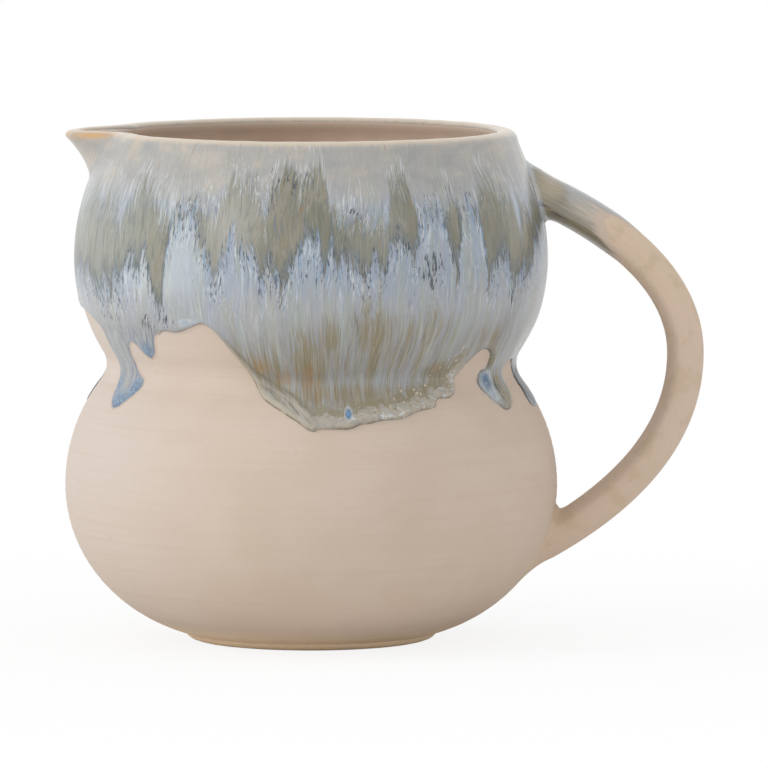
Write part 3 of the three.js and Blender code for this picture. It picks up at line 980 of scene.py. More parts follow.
    def apron(self, g: Graph, tone: object, flow: Flow) -> object:
        """Streaks the thick lower glaze with ochre, umber, rust and pale lines, paints shade along the
        waist crease and paints a glint among the rust.

        Args:
            g: The finish's graph.
            tone: Colour so far.
            flow: The glaze's course and streaks.

        Returns:
            The colour.
        """
        ochre = g.number("ochre")
        share = g.sum((ochre, 1.0), (flow.strand, 0.3), (flow.fine, 0.26))
        tone = g.lay(tone, self.ochre, g.ease(share, 0.1, 0.95), 0.85)
        there = g.ease(ochre, 0.1, 0.5)
        tone = g.lay(tone, self.umber, there, g.ease(flow.second, 0.2, 1.1), 0.5)
        tone = g.lay(tone, self.milk_blue, there, g.ease(flow.second, -0.2, -1.0), 0.6)
        tone = g.lay(tone, self.crust, there, g.ease(flow.hair, 0.1, 0.9), 0.4)
        tone = g.lay(tone, self.umber, there, g.ease(flow.hair, -0.1, -0.9), 0.4)
        # Rust streaks, and one painted glint high on the front
        rust_and_glint_share = g.sum((g.number("rust"), 1.0), (flow.strand, 0.25), (flow.fine, 0.4))
        tone = g.lay(tone, self.rust, g.ease(rust_and_glint_share, 0.25, 1.2), 0.6)
        # Painted shade: a faint dark band along the concave waist, where the crease falls into shade
        sagging = g.sum((flow.height, 1.0), (flow.strand, 0.8))
        crease = g.ease(g.apart(sagging, self.waist_shade_height), 2.0, 0.3)
        tone = g.lay(tone, self.deep, crease, g.ease(ochre, 0.4, 0.7), 0.25)
        dash = g.sum((g.number("dash"), 1.0), (flow.nick, 0.5), (flow.second, 0.25))
        return g.lay(tone, self.slate, g.ease(dash, 0.85, 1.1), 0.85)

    def crusted(self, g: Graph, tone: object, flow: Flow) -> object:
        """Lays the crumpled crust along the lower edge, the umber above it and the folded hem at its left.

        Args:
            g: The finish's graph.
            tone: Colour so far.
            flow: The glaze's course and streaks.

        Returns:
            The colour.
        """
        edge = g.number("edge")
        crust = g.number("crust")
        x = g.part(flow.place, "X")
        across, along = g.sum((x, 0.7), (flow.height, 0.7)), g.sum((x, 0.7), (flow.height, -0.7))
        slant = g.node("ShaderNodeCombineXYZ", X=g.times(across, 0.7), Y=g.times(along, 0.12)).outputs[0]
        slide = g.noise(slant, 3, 0.65)
        hem = g.number("hem")
        lower = g.ease(flow.height, 74, 62, 0.35, 0.95)
        tone = g.lay(tone, self.crust, hem, g.ease(slide, 0.34, 0.68), lower)
        tone = g.lay(tone, self.umber, hem, g.ease(slide, 0.52, 0.36), 0.55)
        tone = g.lay(tone, self.crust, hem, g.ease(edge, 1.8, 0.7), 0.7)
        fold = g.times(g.number("fold"), g.ease(slide, 0.35, 0.6, 0.35, 0.8))
        tone = g.lay(tone, self.umber, fold)
        crumble = g.noise(g.stretch(flow.place, (0.55, 0.55, 0.8)), 3, 0.65)
        shore = g.sum((edge, 1.0), (crumble, -7.0))
        tone = g.lay(tone, self.ochre, g.ease(shore, 2.2, 0.4), g.ease(edge, 8, 5), crust, 0.75)
        pale = g.times(g.ease(shore, 0.2, -1.6), crust)
        scum = g.mix(g.ease(crumble, 0.36, 0.7), self.crust, self.rim_grey)
        lump = g.noise(g.stretch(flow.place, (0.5, 0.5, 1.3)), 2, 0.6)
        scum = g.lay(scum, self.white, g.ease(lump, 0.56, 0.68), 0.7)
        wrinkle = g.ease(g.apart(lump, 0.47), 0.03, 0.006)
        scum = g.lay(scum, self.umber, wrinkle, 0.3)
        tone = g.lay(tone, scum, pale, 0.9)
        bits = g.noise(g.stretch(flow.place, (1.05, 1.05, 1.05)), 1, 0.5)
        right = g.ease(x, *self.crumb_places)
        crumbs = g.times(g.ease(bits, 0.66, 0.7), g.ease(edge, 8.5, 5.0), crust, right)
        return g.lay(tone, self.cream, crumbs)

    def margins(self, g: Graph, tone: object, flow: Flow) -> tuple[object, object]:
        """Finishes the rim, the blue pools, the dark outline and the ends that fade into the clay.

        Args:
            g: The finish's graph.
            tone: Colour so far.
            flow: The glaze's course and streaks.

        Returns:
            The colour, and how far the clay shows.
        """
        edge = g.number("edge")
        soft = g.number("soft")
        fleck = g.noise(g.stretch(flow.place, (1.5, 1.5, 1.0)), 2, 0.65)
        water = g.mix(g.times(soft, g.ease(edge, 1.0, 2.6), 0.35), self.pool, self.sky)
        water = g.lay(water, self.white, g.ease(fleck, 0.52, 0.62), g.ease(soft, 0, 1, 0.25, 0.4))
        water = g.lay(water, self.slate, g.ease(fleck, 0.45, 0.38), g.ease(soft, 0, 1, 0.2, 0.5))
        tone = g.lay(tone, self.steel, soft, g.ease(flow.second, -0.1, 0.7), 0.7)
        tone = g.lay(tone, self.white, soft, g.ease(flow.hair, 0.2, 0.9), 0.25)
        blue = g.sum((g.number("pool"), 1.0), (flow.fine, 0.14), (fleck, 0.5))
        water = g.lay(water, self.cobalt, g.ease(g.number("pool"), 0.95, 1.1))
        halo = g.times(g.ease(g.number("pool"), 0.1, 0.4), g.ease(soft, 0, 1, 0.45, 0.0))
        tone = g.lay(tone, self.white, halo)
        tone = g.lay(tone, water, g.ease(blue, 0.45, 1.05), 0.9)
        shade = g.ease(g.sum((edge, 1.0), (flow.fine, 0.3)), 2.2, 0.6)
        tone = g.lay(tone, self.steel, soft, shade, 0.5)
        hard = g.math("SUBTRACT", 1.0, soft)
        rough = g.noise(g.stretch(flow.place, (0.3, 0.3, 0.3)), 2, 0.5)
        outline = g.times(hard, g.ease(edge, 0.5, 0.1), g.ease(rough, 0.4, 0.6, 0.1, 0.6))
        tone = g.lay(tone, self.rind, outline)
        crest = g.sum((g.number("rim"), 1.0), (flow.fine, 0.25))
        blush = g.times(g.number("blush"), g.ease(flow.second, -0.6, 0.9, 0.75, 0.4))
        tone = g.lay(tone, self.cream, blush)
        tone = g.lay(tone, self.cream, g.ease(crest, 2.8, 1.2), 0.9)
        tone = g.lay(tone, self.amber, g.number("stain"), 0.8)
        fade = g.sum((g.number("fade"), 1.0), (flow.fine, 0.12), (flow.hair, 0.1))
        bare = g.ease(fade, 0.2, 0.9)
        return g.lay(tone, self.feather, bare), bare


@dataclass
class Foot:
    """Low turned foot with a shallow recess under it."""

    form: BodyForm
    taper: float = 3.3
    ring: float = 7.0
    recess: float = 0.8
    edge: float = 0.5
    flat: float = 3.0
    seat_inset: float = 1.0
    sides: int = 192

    def build(self) -> bpy.types.Object:
        """Makes the foot's mesh.

        Returns:
            The foot.
        """
        top, wide = self.form.foot_height, self.form.foot_radius
        base = wide - self.taper
        inside = base - self.ring
        bulge = np.linspace(0, np.pi / 2, 10)
        lean = base - self.edge + (wide - base + self.edge) * np.sin(bulge)
        rise = top * (1 - np.cos(bulge))
        corner = np.linspace(0, np.pi / 2, 6)
        hollow = inside - self.edge * np.sin(corner)
        middle, seat = [0, inside - self.flat], [wide - self.seat_inset, 0]
        radius = [*middle, *hollow[::-1], inside, base - self.edge, *lean[1:], *seat]
        height = [self.recess] * 2 + list(self.recess * np.sin(corner[::-1])) + [0, 0, *rise[1:], top, top]
        angles = np.linspace(0, 360, self.sides, endpoint=False)
        shell = Shell()
        rows = around(angles, np.array(radius)[:, None], np.array(height)[:, None])
        shell.add_loop(rows)
        return shell.make("foot", crease=60)


@dataclass
class LowerBowl:
    """Lower thrown bulb with its floor, turned in fine rings."""

    form: BodyForm
    sides: int = 256
    rows: int = 120
    ring_depth: float = 0.035
    ring_pitch: float = 2.3
    ring_fade: float = 0.3

    def build(self) -> bpy.types.Object:
        """Makes the bulb's mesh.

        Returns:
            The bulb.
        """
        form = self.form
        angles = np.linspace(0, 360, self.sides, endpoint=False)
        climb = np.linspace(0, np.pi, self.rows)
        height = form.foot_height + (form.waist_height - form.foot_height) * (1 - np.cos(climb)) / 2
        outside = form.radius(height)
        deep = form.waist_height - form.floor_height
        inside_height = form.floor_height + deep * (1 - np.cos(climb[::3])) / 2
        inside = form.lower_inner(inside_height)
        radius = np.concatenate([[0], outside, inside[::-1], [0]])
        levels = np.concatenate([[form.foot_height], height, inside_height[::-1], [form.floor_height]])
        wave = np.zeros((len(radius), self.sides))
        turns = levels[1 : self.rows, None] / self.ring_pitch + angles / 360
        fade = np.hanning(self.rows - 1)[:, None] ** self.ring_fade
        wave[1 : self.rows] = self.ring_depth * np.sin(2 * np.pi * turns) * fade
        shell = Shell()
        shell.add_loop(around(angles, radius[:, None] + wave, levels[:, None]))
        return shell.make("lower_bowl", crease=50)


@dataclass
class UpperWall:
    """Upper thrown bulb and the beak pulled from its rim, which is a piece of its own."""

    form: BodyForm
    sides: int = 360
    rows: int = 110
    rim_rows: int = 9
    spout_half_angle: float = 22.0
    spout_low: float = 113.5

    def grids(self) -> tuple[Grid, Grid]:
        """Works out the outer and inner points.

        Returns:
            Outer and inner points by row and column, which meet along the top of the rim.
        """
        form = self.form
        angles = np.linspace(0, 360, self.sides, endpoint=False)
        middle, _ = form.rim(angles)
        climb = np.linspace(0, 1, self.rows)[:, None]
        height = form.waist_height + (middle - form.waist_height) * climb
        turns = np.linspace(0, np.pi / 2, self.rim_rows + 1)[1:]
        outer = around(angles, form.outer(angles, height), height)
        inner = around(angles, form.inner(angles, height), height)
        over_outer = around(angles, *form.rim_arc(angles, turns))
        over_inner = around(angles, *form.rim_arc(angles, np.pi - turns))
        return np.concatenate([outer, over_outer]), np.concatenate([inner, over_inner])

    def build(self) -> list[bpy.types.Object]:
        """Makes the bulb's and the spout's meshes.

        Returns:
            The bulb and the spout.
        """
        outer, inner = self.grids()
        rows, columns = outer.shape[:2]
        quads = quads_of(numbered(rows, columns))
        angles = np.linspace(0, 360, columns, endpoint=False)
        away = np.abs(wrapped(angles + 90 + 180 / columns))
        beak = (away < self.spout_half_angle) & (outer[:-1, :, 2] > self.spout_low)
        made = []
        for name, mask in (("upper_bowl", ~beak), ("spout", beak)):
            shell = Shell()
            faces = [quads[mask]]
            shell.add_slab(outer, inner, faces, faces)
            made.append(shell.make(name, crease=60))
        return made


@dataclass
class Liner:
    """Clear glaze that seals the inside, from the floor up to the pale lip."""

    form: BodyForm
    depth: float = 0.55
    bed: float = 0.1
    rim_turn: float = 0.86
    rim_fade: float = 0.6
    rim_rows: int = 8
    floor_rows: int = 10
    sides: int = 240
    rows: int = 70

    def build(self) -> bpy.types.Object:
        """Makes the liner's mesh.

        Returns:
            The liner.
        """
        form = self.form
        angles = np.linspace(0, 360, self.sides, endpoint=False)
        middle, rounding = form.rim(angles)
        climb = np.linspace(0, 1, self.rows)[:, None]
        low = form.floor_height + (form.waist_height - form.floor_height) * climb**2
        high = form.waist_height + (middle - form.waist_height) * climb[1:]
        height = np.concatenate([np.broadcast_to(low, (self.rows, self.sides)), high])
        wall = np.where(height <= form.waist_height, form.lower_inner(height), form.inner(angles, height))
        rings = np.linspace(0, float(wall[0, 0]), self.floor_rows + 2)[1:-1, None]
        floor = rings * np.ones(self.sides)
        turns = np.pi * np.linspace(1, self.rim_turn, self.rim_rows + 1)[1:]
        base = np.concatenate(
            [
                around(angles, floor, np.full_like(floor, form.floor_height)),
                around(angles, wall, height),
                around(angles, *form.rim_arc(angles, turns)),
            ]
        )
        ease = np.ones((len(base), 1, 1))
        ease[-self.rim_rows :, 0, 0] = np.linspace(1, 0, self.rim_rows) ** self.rim_fade
        out = normals(base)
        bed, face = base + out * self.bed, base - out * self.depth * ease
        pole = np.zeros((1, self.sides, 3))
        bottom, top = pole.copy(), pole.copy()
        bottom[..., 2] = form.floor_height - self.bed
        top[..., 2] = form.floor_height + self.depth
        shell = Shell()
        rows = np.concatenate([bottom, bed, face[::-1], top])
        shell.add_loop(rows, drop=middle + rounding - rows[..., 2])
        return shell.make("liner_glaze", crease=70)


@dataclass
class Handle:
    """Pulled handle: a strap with a domed back and a flatter inside, smeared onto both bulbs."""

    form: BodyForm
    thick: float = 9.3
    wide: float = 15.0
    ridge: float = 1.5
    back_fullness: float = 2.3
    inside_fullness: float = 2.0
    finger_gap: float = 27.9
    top_drop: float = 15.0
    top_slope: float = -23.9
    apex_rise: float = 3.1
    bottom_drop: float = 14.7
    bottom_slope: float = 29.5
    bottom_tuck: float = 24.0
    pulls: tuple[float, float, float, float] = (31.4, 13.6, 14.2, 33.1)
    blend: float = 4.0
    top_blend: float = 1.6
    root_rise: float = 0.8
    foot_blend: float = 3.2
    tuck: float = 13.0
    bed: float = 2.6
    look_ahead: float = 3.5
    march: float = 0.1
    march_reach: float = 1.6
    march_slope: float = 0.9
    rows: int = 420
    sides: int = 80

    def centre_line(self) -> tuple[Grid, Grid]:
        """Centre line in the jug's middle plane, from inside the upper wall to inside the lower one.

        Returns:
            Points as radius and height, and the lengths to them.
        """
        form = self.form
        top_height = form.rim_height - self.top_drop
        bottom_height = form.belly_height - self.bottom_drop
        top = np.array([float(form.radius(top_height)), top_height])
        bottom = np.array([float(form.radius(bottom_height)), bottom_height])
        apex_radius = form.lower_radius + self.finger_gap + self.thick / 2
        apex = np.array([apex_radius, form.waist_height + self.apex_rise])
        lead, tail, bury = (
            np.array([math.cos(math.radians(a)), math.sin(math.radians(a))])
            for a in (self.top_slope, self.bottom_slope, self.bottom_tuck)
        )
        up = np.array([0.0, 1.0])
        first = (top, top + lead * self.pulls[0], apex + up * self.pulls[1], apex)
        second = (apex, apex - up * self.pulls[2], bottom + tail * self.pulls[3], bottom)
        t = np.linspace(0, 1, 200)[:, None]
        weights = ((1 - t) ** 3, 3 * t * (1 - t) ** 2, 3 * t**2 * (1 - t), t**3)
        upper, lower = (sum(w * p for w, p in zip(weights, curve)) for curve in (first, second))
        line = np.concatenate([[top - lead * self.tuck], upper, lower[1:], [bottom - bury * self.tuck]])
        step = np.linalg.norm(np.diff(line, axis=0), axis=1)
        return line, np.concatenate([[0], np.cumsum(step)])

    def path(self, places: Grid) -> tuple[Grid, Grid]:
        """Points along the centre line.

        Args:
            places: Lengths along it in millimetres, 0 where it leaves the upper wall.

        Returns:
            Points as radius and height, and unit directions along the line.
        """
        line, length = self.centre_line()
        at = np.asarray(places) + self.tuck
        points, ahead, behind = (
            np.stack([np.interp(at + shift, length, line[:, k]) for k in (0, 1)], axis=-1)
            for shift in (0, self.look_ahead, -self.look_ahead)
        )
        way = ahead - behind
        return points, way / np.linalg.norm(way, axis=-1, keepdims=True)

    def section(self, turns: Grid) -> tuple[Grid, Grid]:
        """The strap's section.

        Args:
            turns: Angles round it in radians, 0 at the back of the strap.

        Returns:
            Distances out from the centre line and across it.
        """
        half = self.thick / 2
        back = np.cos(turns) > 0
        reach = np.where(back, half + self.ridge, half - self.ridge)
        power = 2 / np.where(back, self.back_fullness, self.inside_fullness)
        out, across = (np.sign(v) * np.abs(v) ** power for v in (np.cos(turns), np.sin(turns)))
        return reach * out - self.ridge, self.wide / 2 * across

    def skin(self, places: Grid, turns: Grid, grow: Grid) -> Grid:
        """Points on the strap, drawn out in a fillet where it nears the body.

        Args:
            places: Lengths along the strap, by row or by row and column.
            turns: Angles round it in radians, by column.
            grow: How far the points lie over the clay.

        Returns:
            Points by row and column.
        """
        places = np.broadcast_to(places, np.broadcast_shapes(np.shape(places), np.shape(turns)))
        points, way = self.path(places)
        out, across = self.section(turns)
        out = out + self.root_rise * smoothstep(4, -4, places) * smoothstep(0.1, 0.8, np.cos(turns))
        size = np.hypot(out, across)

        def at(spread: Grid) -> Grid:
            """Points at a distance from the plain strap.

            Args:
                spread: Distances by row and column.

            Returns:
                Points by row and column.
            """
            scale = 1 + spread / size
            x = points[..., 0] - way[..., 1] * out * scale
            z = points[..., 1] + way[..., 0] * out * scale
            return np.stack([x, across * scale, z], axis=-1)

        tight = smoothstep(-0.2, 0.5, np.cos(turns)) * smoothstep(50, 30, places)
        blend = self.blend + (self.top_blend - self.blend) * tight
        blend = blend + (self.foot_blend - self.blend) * smoothstep(60, 90, places)
        spread, before = np.zeros(places.shape), np.full(places.shape, -1.0)
        done = np.zeros(places.shape, bool)
        for _ in range(round(self.march_reach * self.blend / self.march)):
            spot = at(spread)
            gap = np.hypot(spot[..., 0], spot[..., 1]) - self.form.radius(spot[..., 2])
            gap = self.march_slope * gap
            near = np.clip(blend - np.abs(spread - gap), 0, None) / blend
            shape = np.minimum(spread, gap) - near**2 * blend / 4
            leaves = ~done & (shape >= 0)
            share = shape / np.where(shape > before, shape - before, 1)
            spread = np.where(leaves & (spread > 0), spread - self.march * share, spread)
            done |= leaves | (gap < -self.bed)
            spread = np.where(done, spread, spread + self.march)
            before = np.where(done, before, shape)
        return at(spread + grow)

    def bedded(self, rows: Grid) -> Grid:
        """Stops each line along the strap where it is deep enough in the body's wall.

        Args:
            rows: Points by row and column.

        Returns:
            The same points, with those past the bed gathered on it.
        """
        rows = rows.copy()
        deep = self.form.radius(rows[..., 2]) - np.hypot(rows[..., 0], rows[..., 1]) > self.bed
        middle = len(rows) // 2
        for order, step in ((range(middle, len(rows) - 1), 1), (range(middle, 0, -1), -1)):
            for row in order:
                rows[row + step] = np.where(deep[row][:, None], rows[row], rows[row + step])
                deep[row + step] |= deep[row]
        return rows

    def build(self) -> bpy.types.Object:
        """Makes the strap's mesh.

        Returns:
            The handle.
        """
        turns = np.linspace(0, 2 * np.pi, self.sides, endpoint=False)
        length = self.centre_line()[1][-1]
        share = (1 - np.cos(np.linspace(0, np.pi, self.rows))) / 2
        rows = self.bedded(self.skin((share * length - self.tuck)[:, None], turns, 0.0))
        ends = [np.broadcast_to(rows[k].mean(axis=0), (1, self.sides, 3)) for k in (0, -1)]
        shell = Shell()
        shell.add_loop(np.concatenate([ends[0], rows, ends[1]]))
        return shell.make("handle", crease=70)


@dataclass
class HandleGlaze:
    """Glaze that ran a little way down the handle and faded out on a slant."""

    handle: Handle
    depth: float = 0.3
    sunk: float = -0.05
    bed: float = 0.12
    start: float = -9.0
    rows: int = 110
    sides: int = 128
    reach: tuple[Span, ...] = ((-1, 30), (-0.5, 30), (0, 25), (0.5, 21), (0.85, 22), (1, 31))
    wobble: float = 1.1
    thinning: float = 9.0
    spread: float = 28.0

    def build(self) -> bpy.types.Object:
        """Makes the sleeve's mesh.

        Returns:
            The sleeve.
        """
        turns = np.linspace(0, 2 * np.pi, self.sides, endpoint=False)
        side = np.cos(turns)
        ring = np.stack([side, np.sin(turns), np.zeros_like(turns)], axis=-1)
        reach = np.interp(side, *np.array(self.reach).T) + self.wobble * Grain(5).at(ring * 3 + 7, 1.0)
        share = np.linspace(0, 1, self.rows)[:, None]
        places = self.start + (reach - self.start) * share
        edge = reach - places
        thick = self.sunk + (self.depth - self.sunk) * smoothstep(0, self.thinning, edge)
        outer = self.handle.bedded(self.handle.skin(places, turns, thick))
        inner = self.handle.bedded(self.handle.skin(places, turns, -self.bed))
        gap = np.hypot(outer[..., 0], outer[..., 1]) - self.handle.form.radius(outer[..., 2])
        quads = quads_of(numbered(*outer.shape[:2])).reshape(-1, 4)
        shell = Shell()
        shell.add_slab(outer, inner, [quads], [quads], **self.values(places, edge, gap, turns))
        return shell.make("handle_glaze")

    def values(self, places: Grid, edge: Grid, gap: Grid, turns: Grid) -> dict[str, Grid]:
        """What the finish reads at the sleeve's points.

        Args:
            places: Lengths along the strap by row and column.
            edge: Distances from the sleeve's end.
            gap: Distances from the body's wall.
            turns: Angles round the strap.

        Returns:
            Arrays by name.
        """
        side = np.cos(turns) + 0 * places
        blank = np.zeros_like(edge)

        def patch(at: float, over: float, long: float, wide: float) -> Grid:
            """Soft mark on the strap, by its place along and over it and its half sizes."""
            return np.exp(-(((places - at) / long) ** 2) - ((side - over) / wide) ** 2)

        blanks = dict.fromkeys(("soft", "crust", "hem", "fold", "veil", "stain"), blank)
        crest = smoothstep(0.93, 0.99, side)
        flow = [self.spread * np.cos(turns) + blank, self.spread * np.sin(turns) + blank, places]
        strands = Grain(9).at(np.stack([0.5 * flow[0], 0.5 * flow[1], 0.15 * places], axis=-1), 1.0)
        pale = smoothstep(0.05, 0.5, side + 0.2 * strands) * smoothstep(5, 11, gap + 2 * strands)
        pale = pale * (1 - crest)
        crease = smoothstep(2.4, 1.3, gap)
        dash = np.maximum(1.1 * patch(4, -0.1, 3, 0.16), 1.1 * patch(8, -0.35, 4, 0.16))
        return {
            "flow": np.stack(flow, axis=-1),
            "window": 1.1 - 2.6 * pale - 1.8 * crest - 1.4 * crease,
            "sink": 2.6 + blank,
            "edge": edge + 3,
            "fade": smoothstep(10, 2, edge + 3 * strands),
            "dash": dash + 0.5 * crease,
            "ochre": np.maximum(0.7 * patch(3, 0.5, 5, 0.6), 0.95 * patch(13, -0.55, 15, 0.5)),
            "rust": 0.5 * patch(5, -0.25, 4, 0.3),
            "pool": 0.3 * crease + 0.2 * crest,
            "rim": 9 + blank,
            "blush": np.maximum(0.85 * patch(3, 0.6, 5, 0.5), 0.95 * patch(15, 0.4, 8, 0.45)),
            **blanks,
        }


@dataclass(frozen=True)
class Spot:
    """A soft round mark: middle in degrees and mm, half width and half height in mm, and strength."""

    turn: float
    height: float
    wide: float
    high: float
    strength: float = 1.0


# Lower edge of the glaze, as degrees round the jug and height, from the spout past the front to behind
GLAZE_EDGE = [
    (-82, 85), (-76, 84.4), (-71, 83), (-69.2, 80), (-69, 76), (-68.4, 71), (-67.4, 66.6),
    (-64.4, 62), (-60.2, 60), (-55.4, 62.6), (-51.8, 66.4), (-52, 69.4), (-54.6, 71.2), (-55.8, 74),
    (-54.4, 76.8), (-53, 77), (-51.6, 75.2), (-48, 73.4), (-44.4, 75.6), (-42.6, 79.6), (-40, 82),
    (-36, 81.8), (-32, 83), (-28, 84.4), (-25, 83), (-22.4, 79.8), (-19.6, 76), (-17, 72.2),
    (-15.2, 69.6), (-12.8, 66), (-7, 62.6), (-3.2, 60.4), (-0.6, 58.6), (1, 58), (2.4, 58.6),
    (6, 58.6), (10, 58.6), (12.6, 59.6), (15, 59.8), (18.2, 60.4), (24, 60.8), (28.5, 62.2),
    (34, 63), (35, 64.2), (36.4, 65), (39.8, 65), (42.6, 66.2), (43.6, 68.6), (44, 70),
    (45.6, 71.4), (49, 75), (52, 76.6), (55.6, 76), (58, 73.8), (58, 71.4), (55, 70.8), (53, 68),
    (54.4, 65), (57.2, 62.4), (60, 60.8), (64, 61.8), (66.6, 65), (67, 69), (69, 71.8),
    (74.2, 72.4), (76.4, 71), (77.8, 68), (77.8, 65), (76.6, 62.4), (78, 60.6), (82, 59.8),
    (86.4, 60.2), (88.8, 62.4), (89.6, 66), (91, 70.6), (95, 72.6), (101, 74.6), (107, 76.2),
    (112, 76.4), (115.4, 73.6), (116.8, 69), (118, 64.4), (121.2, 61.6), (124.2, 63.2), (126, 66.2),
    (129, 66.8), (134, 64.6), (140, 62), (146, 60.8), (153, 62), (159, 64.2), (164, 66),
    (166.6, 64), (168.2, 59.4), (171, 57), (173.8, 59), (175.2, 65), (176.6, 71.4), (180, 75.6),
    (187, 78.2), (195, 79), (199.4, 76.6), (201.2, 71), (204, 65.8), (206.8, 67.4), (209, 69.4),
    (213, 67.2), (220, 64.2), (227, 62.6), (234, 64.4), (240, 67.4), (245, 69), (248, 66),
    (249.6, 60.6), (252.4, 57.4), (255, 59.6), (256.4, 63.6), (259, 63.8), (262.4, 62),
    (265.6, 60.6), (268.2, 60.6), (269.2, 62.4), (268.4, 65), (266.2, 67.6), (263, 70),
    (260.6, 73.4), (259.8, 78), (261.4, 82), (265.4, 84.6), (273, 85.4),
]

# Upper edge of the hem along the apron's left side
HEM_TOP = [
    (-24, 84), (-20, 78.7), (-14, 72.1), (-9, 69), (-4, 66.3), (0, 63.2), (1.8, 61.2), (2.6, 59),
]

# Lower edge of the coat that hangs from the rim, in the same terms, on the photographed side
HANGING_EDGE = [
    (-86, 112), (-78, 113), (-72, 114), (-68, 117), (-65.5, 109), (-63, 113.5), (-58, 113.5),
    (-54, 109.5), (-52, 113.5), (-50, 117.5), (-47, 118.5), (-44, 118), (-42, 115), (-40, 110.5),
    (-36, 110), (-28, 112), (-24, 112), (-22.5, 116), (-20, 119.5), (-15, 120), (-13, 118),
    (-11, 112), (-9.6, 121), (-8, 120), (-6.5, 125), (-4, 126), (-2, 120), (0, 124.5), (2, 125.5),
    (3.8, 123), (5.5, 112), (8, 109.5), (14, 111), (17, 109), (19.8, 109.5), (20.6, 116),
    (21.8, 121.5), (25.4, 121), (26.5, 116), (27.6, 110), (34, 110), (36, 113), (37.6, 115.5),
    (39.4, 113.5), (41, 112), (45, 112), (46.4, 114), (49, 118), (52, 121), (54, 120.5), (56, 117),
    (59, 115), (61, 113), (62.5, 107.5), (64.5, 112), (68, 113), (70, 108), (72, 112), (76, 114.5),
    (80, 112),
]

# Tops of the pale flames that rise below it
FLAME_EDGE = [
    (-86, 95), (-76, 96), (-71, 93), (-67.5, 96), (-64.5, 91.5), (-61.5, 90.5), (-59.5, 96),
    (-57, 92), (-54.5, 95.5), (-52, 95), (-49, 99), (-45.6, 98.6), (-44, 100.6), (-43, 99),
    (-42, 94), (-41, 90), (-39.4, 87.5), (-38.4, 88), (-37.5, 95), (-36.8, 102), (-35.6, 108.5),
    (-33.5, 111.5), (-29.5, 111.8), (-28.2, 108.5), (-26.2, 103.5), (-25, 99), (-23.5, 95),
    (-22.2, 98), (-20.8, 102.5), (-18.8, 109.5), (-17.6, 104.5), (-16, 102.5), (-14, 104),
    (-13, 100), (-11.8, 96.3), (-10, 100.5), (-8.5, 97), (-7, 95.3), (-5, 98.5), (-3, 99.6),
    (-1, 106.5), (1.4, 103.6), (2.2, 106), (3.5, 98), (4.3, 99.5), (5.2, 106.5), (6.2, 101.5),
    (10, 100.5), (12, 98), (14, 95.5), (15, 98), (16, 102.5), (18, 96), (19.4, 101), (21.6, 107),
    (23, 103.2), (25, 101.6), (27, 102.4), (28, 112), (34.4, 112), (36, 105.5), (37, 98.5),
    (38.2, 98), (39.4, 107), (40.4, 111.6), (43, 113.3), (45.4, 111.5), (46.4, 106), (47.2, 98.5),
    (48.2, 95.5), (50.4, 97.4), (53, 100.6), (55.2, 100.3), (57, 95.5), (59.4, 94), (62.6, 96),
    (67, 95.6), (69, 98), (70, 103), (72, 101.5), (76, 104), (80, 105),
]

# Where the lower glaze turns ochre and rust, and where it pools blue; one rust spot high on the front is a
# painted glint
OCHRE_SPOTS = [
    Spot(12, 75, 32, 8, 0.62), Spot(-12, 73, 8, 8, 0.8), Spot(0, 75, 12, 9, 0.75),
    Spot(4.8, 81, 3, 6, 0.9), Spot(15, 82, 6, 8, 0.85), Spot(30, 82, 12, 8, 0.5),
    Spot(14, 66.5, 30, 4, 0.75), Spot(36.5, 72, 7, 3.4, 0.9), Spot(48, 79, 5, 5, 0.45),
    Spot(55, 79, 2.5, 4, 0.7), Spot(58.5, 74, 1.6, 3.5, 1.1), Spot(62, 65.5, 3.4, 5, 1.0),
    Spot(145, 72, 22, 9, 0.66), Spot(228, 74, 18, 9, 0.66), Spot(175, 84, 14, 7, 0.5),
]
RUST_AND_GLINT_SPOTS = [
    Spot(-12.8, 74, 2.6, 3.4, 0.9), Spot(-6.5, 71.2, 2.6, 4, 1.0), Spot(0.2, 70.2, 2.4, 4.4, 0.95),
    # Spot(-2, 113.5) on the next line is a painted glint, not rust
    Spot(2, 66, 3, 3, 0.6), Spot(36.5, 72.3, 5, 2.2, 0.6), Spot(-2, 113.5, 0.7, 1.3, 1.2),
    Spot(143, 68, 6, 4, 0.7),
]
POOL_SPOTS = [
    Spot(9.8, 62, 0.8, 1.4, 1.2), Spot(56.2, 68.0, 2.8, 3.2, 0.95), Spot(57, 64.6, 2, 2, 0.45),
    Spot(-48, 76.6, 3.6, 3.2, 0.75), Spot(-65, 66, 3, 3.5, 0.8), Spot(-55, 66, 3.4, 4, 0.85),
    Spot(-60, 62.4, 5.5, 3.8, 0.9), Spot(-31.2, 84.8, 3.4, 1.2, 0.45), Spot(62.5, 111, 0.8, 6, 0.5),
    Spot(121, 64, 4, 3, 0.7), Spot(171, 60, 4, 3.5, 0.7), Spot(204, 68, 4, 3, 0.7),
    Spot(252, 60, 4, 4, 0.7),
]

# Where the glaze at the spout and under the rim is warm
BLUSH_SPOTS = [
    Spot(-88, 124, 6, 5, 0.5), Spot(-29, 124.5, 9, 2.6, 0.4), Spot(-57, 126.8, 2.4, 2.4, 0.6),
]

# Where a pearly veil lies over the glass
VEIL_SPOTS = [
    Spot(-20.5, 108, 7.2, 12, 0.9), Spot(-58, 104, 14, 10, 0.2), Spot(15, 104, 6, 6, 0.32),
    Spot(22.5, 110, 4, 9, 0.2),
]

# Where the lip of the spout is stained amber
STAIN_SPOTS = [
    Spot(-80.6, 128.5, 4.4, 0.6, 1.2), Spot(-89, 128.2, 3, 1.0, 0.5),
    Spot(-57, 127, 1.8, 2.0, 0.15),
]

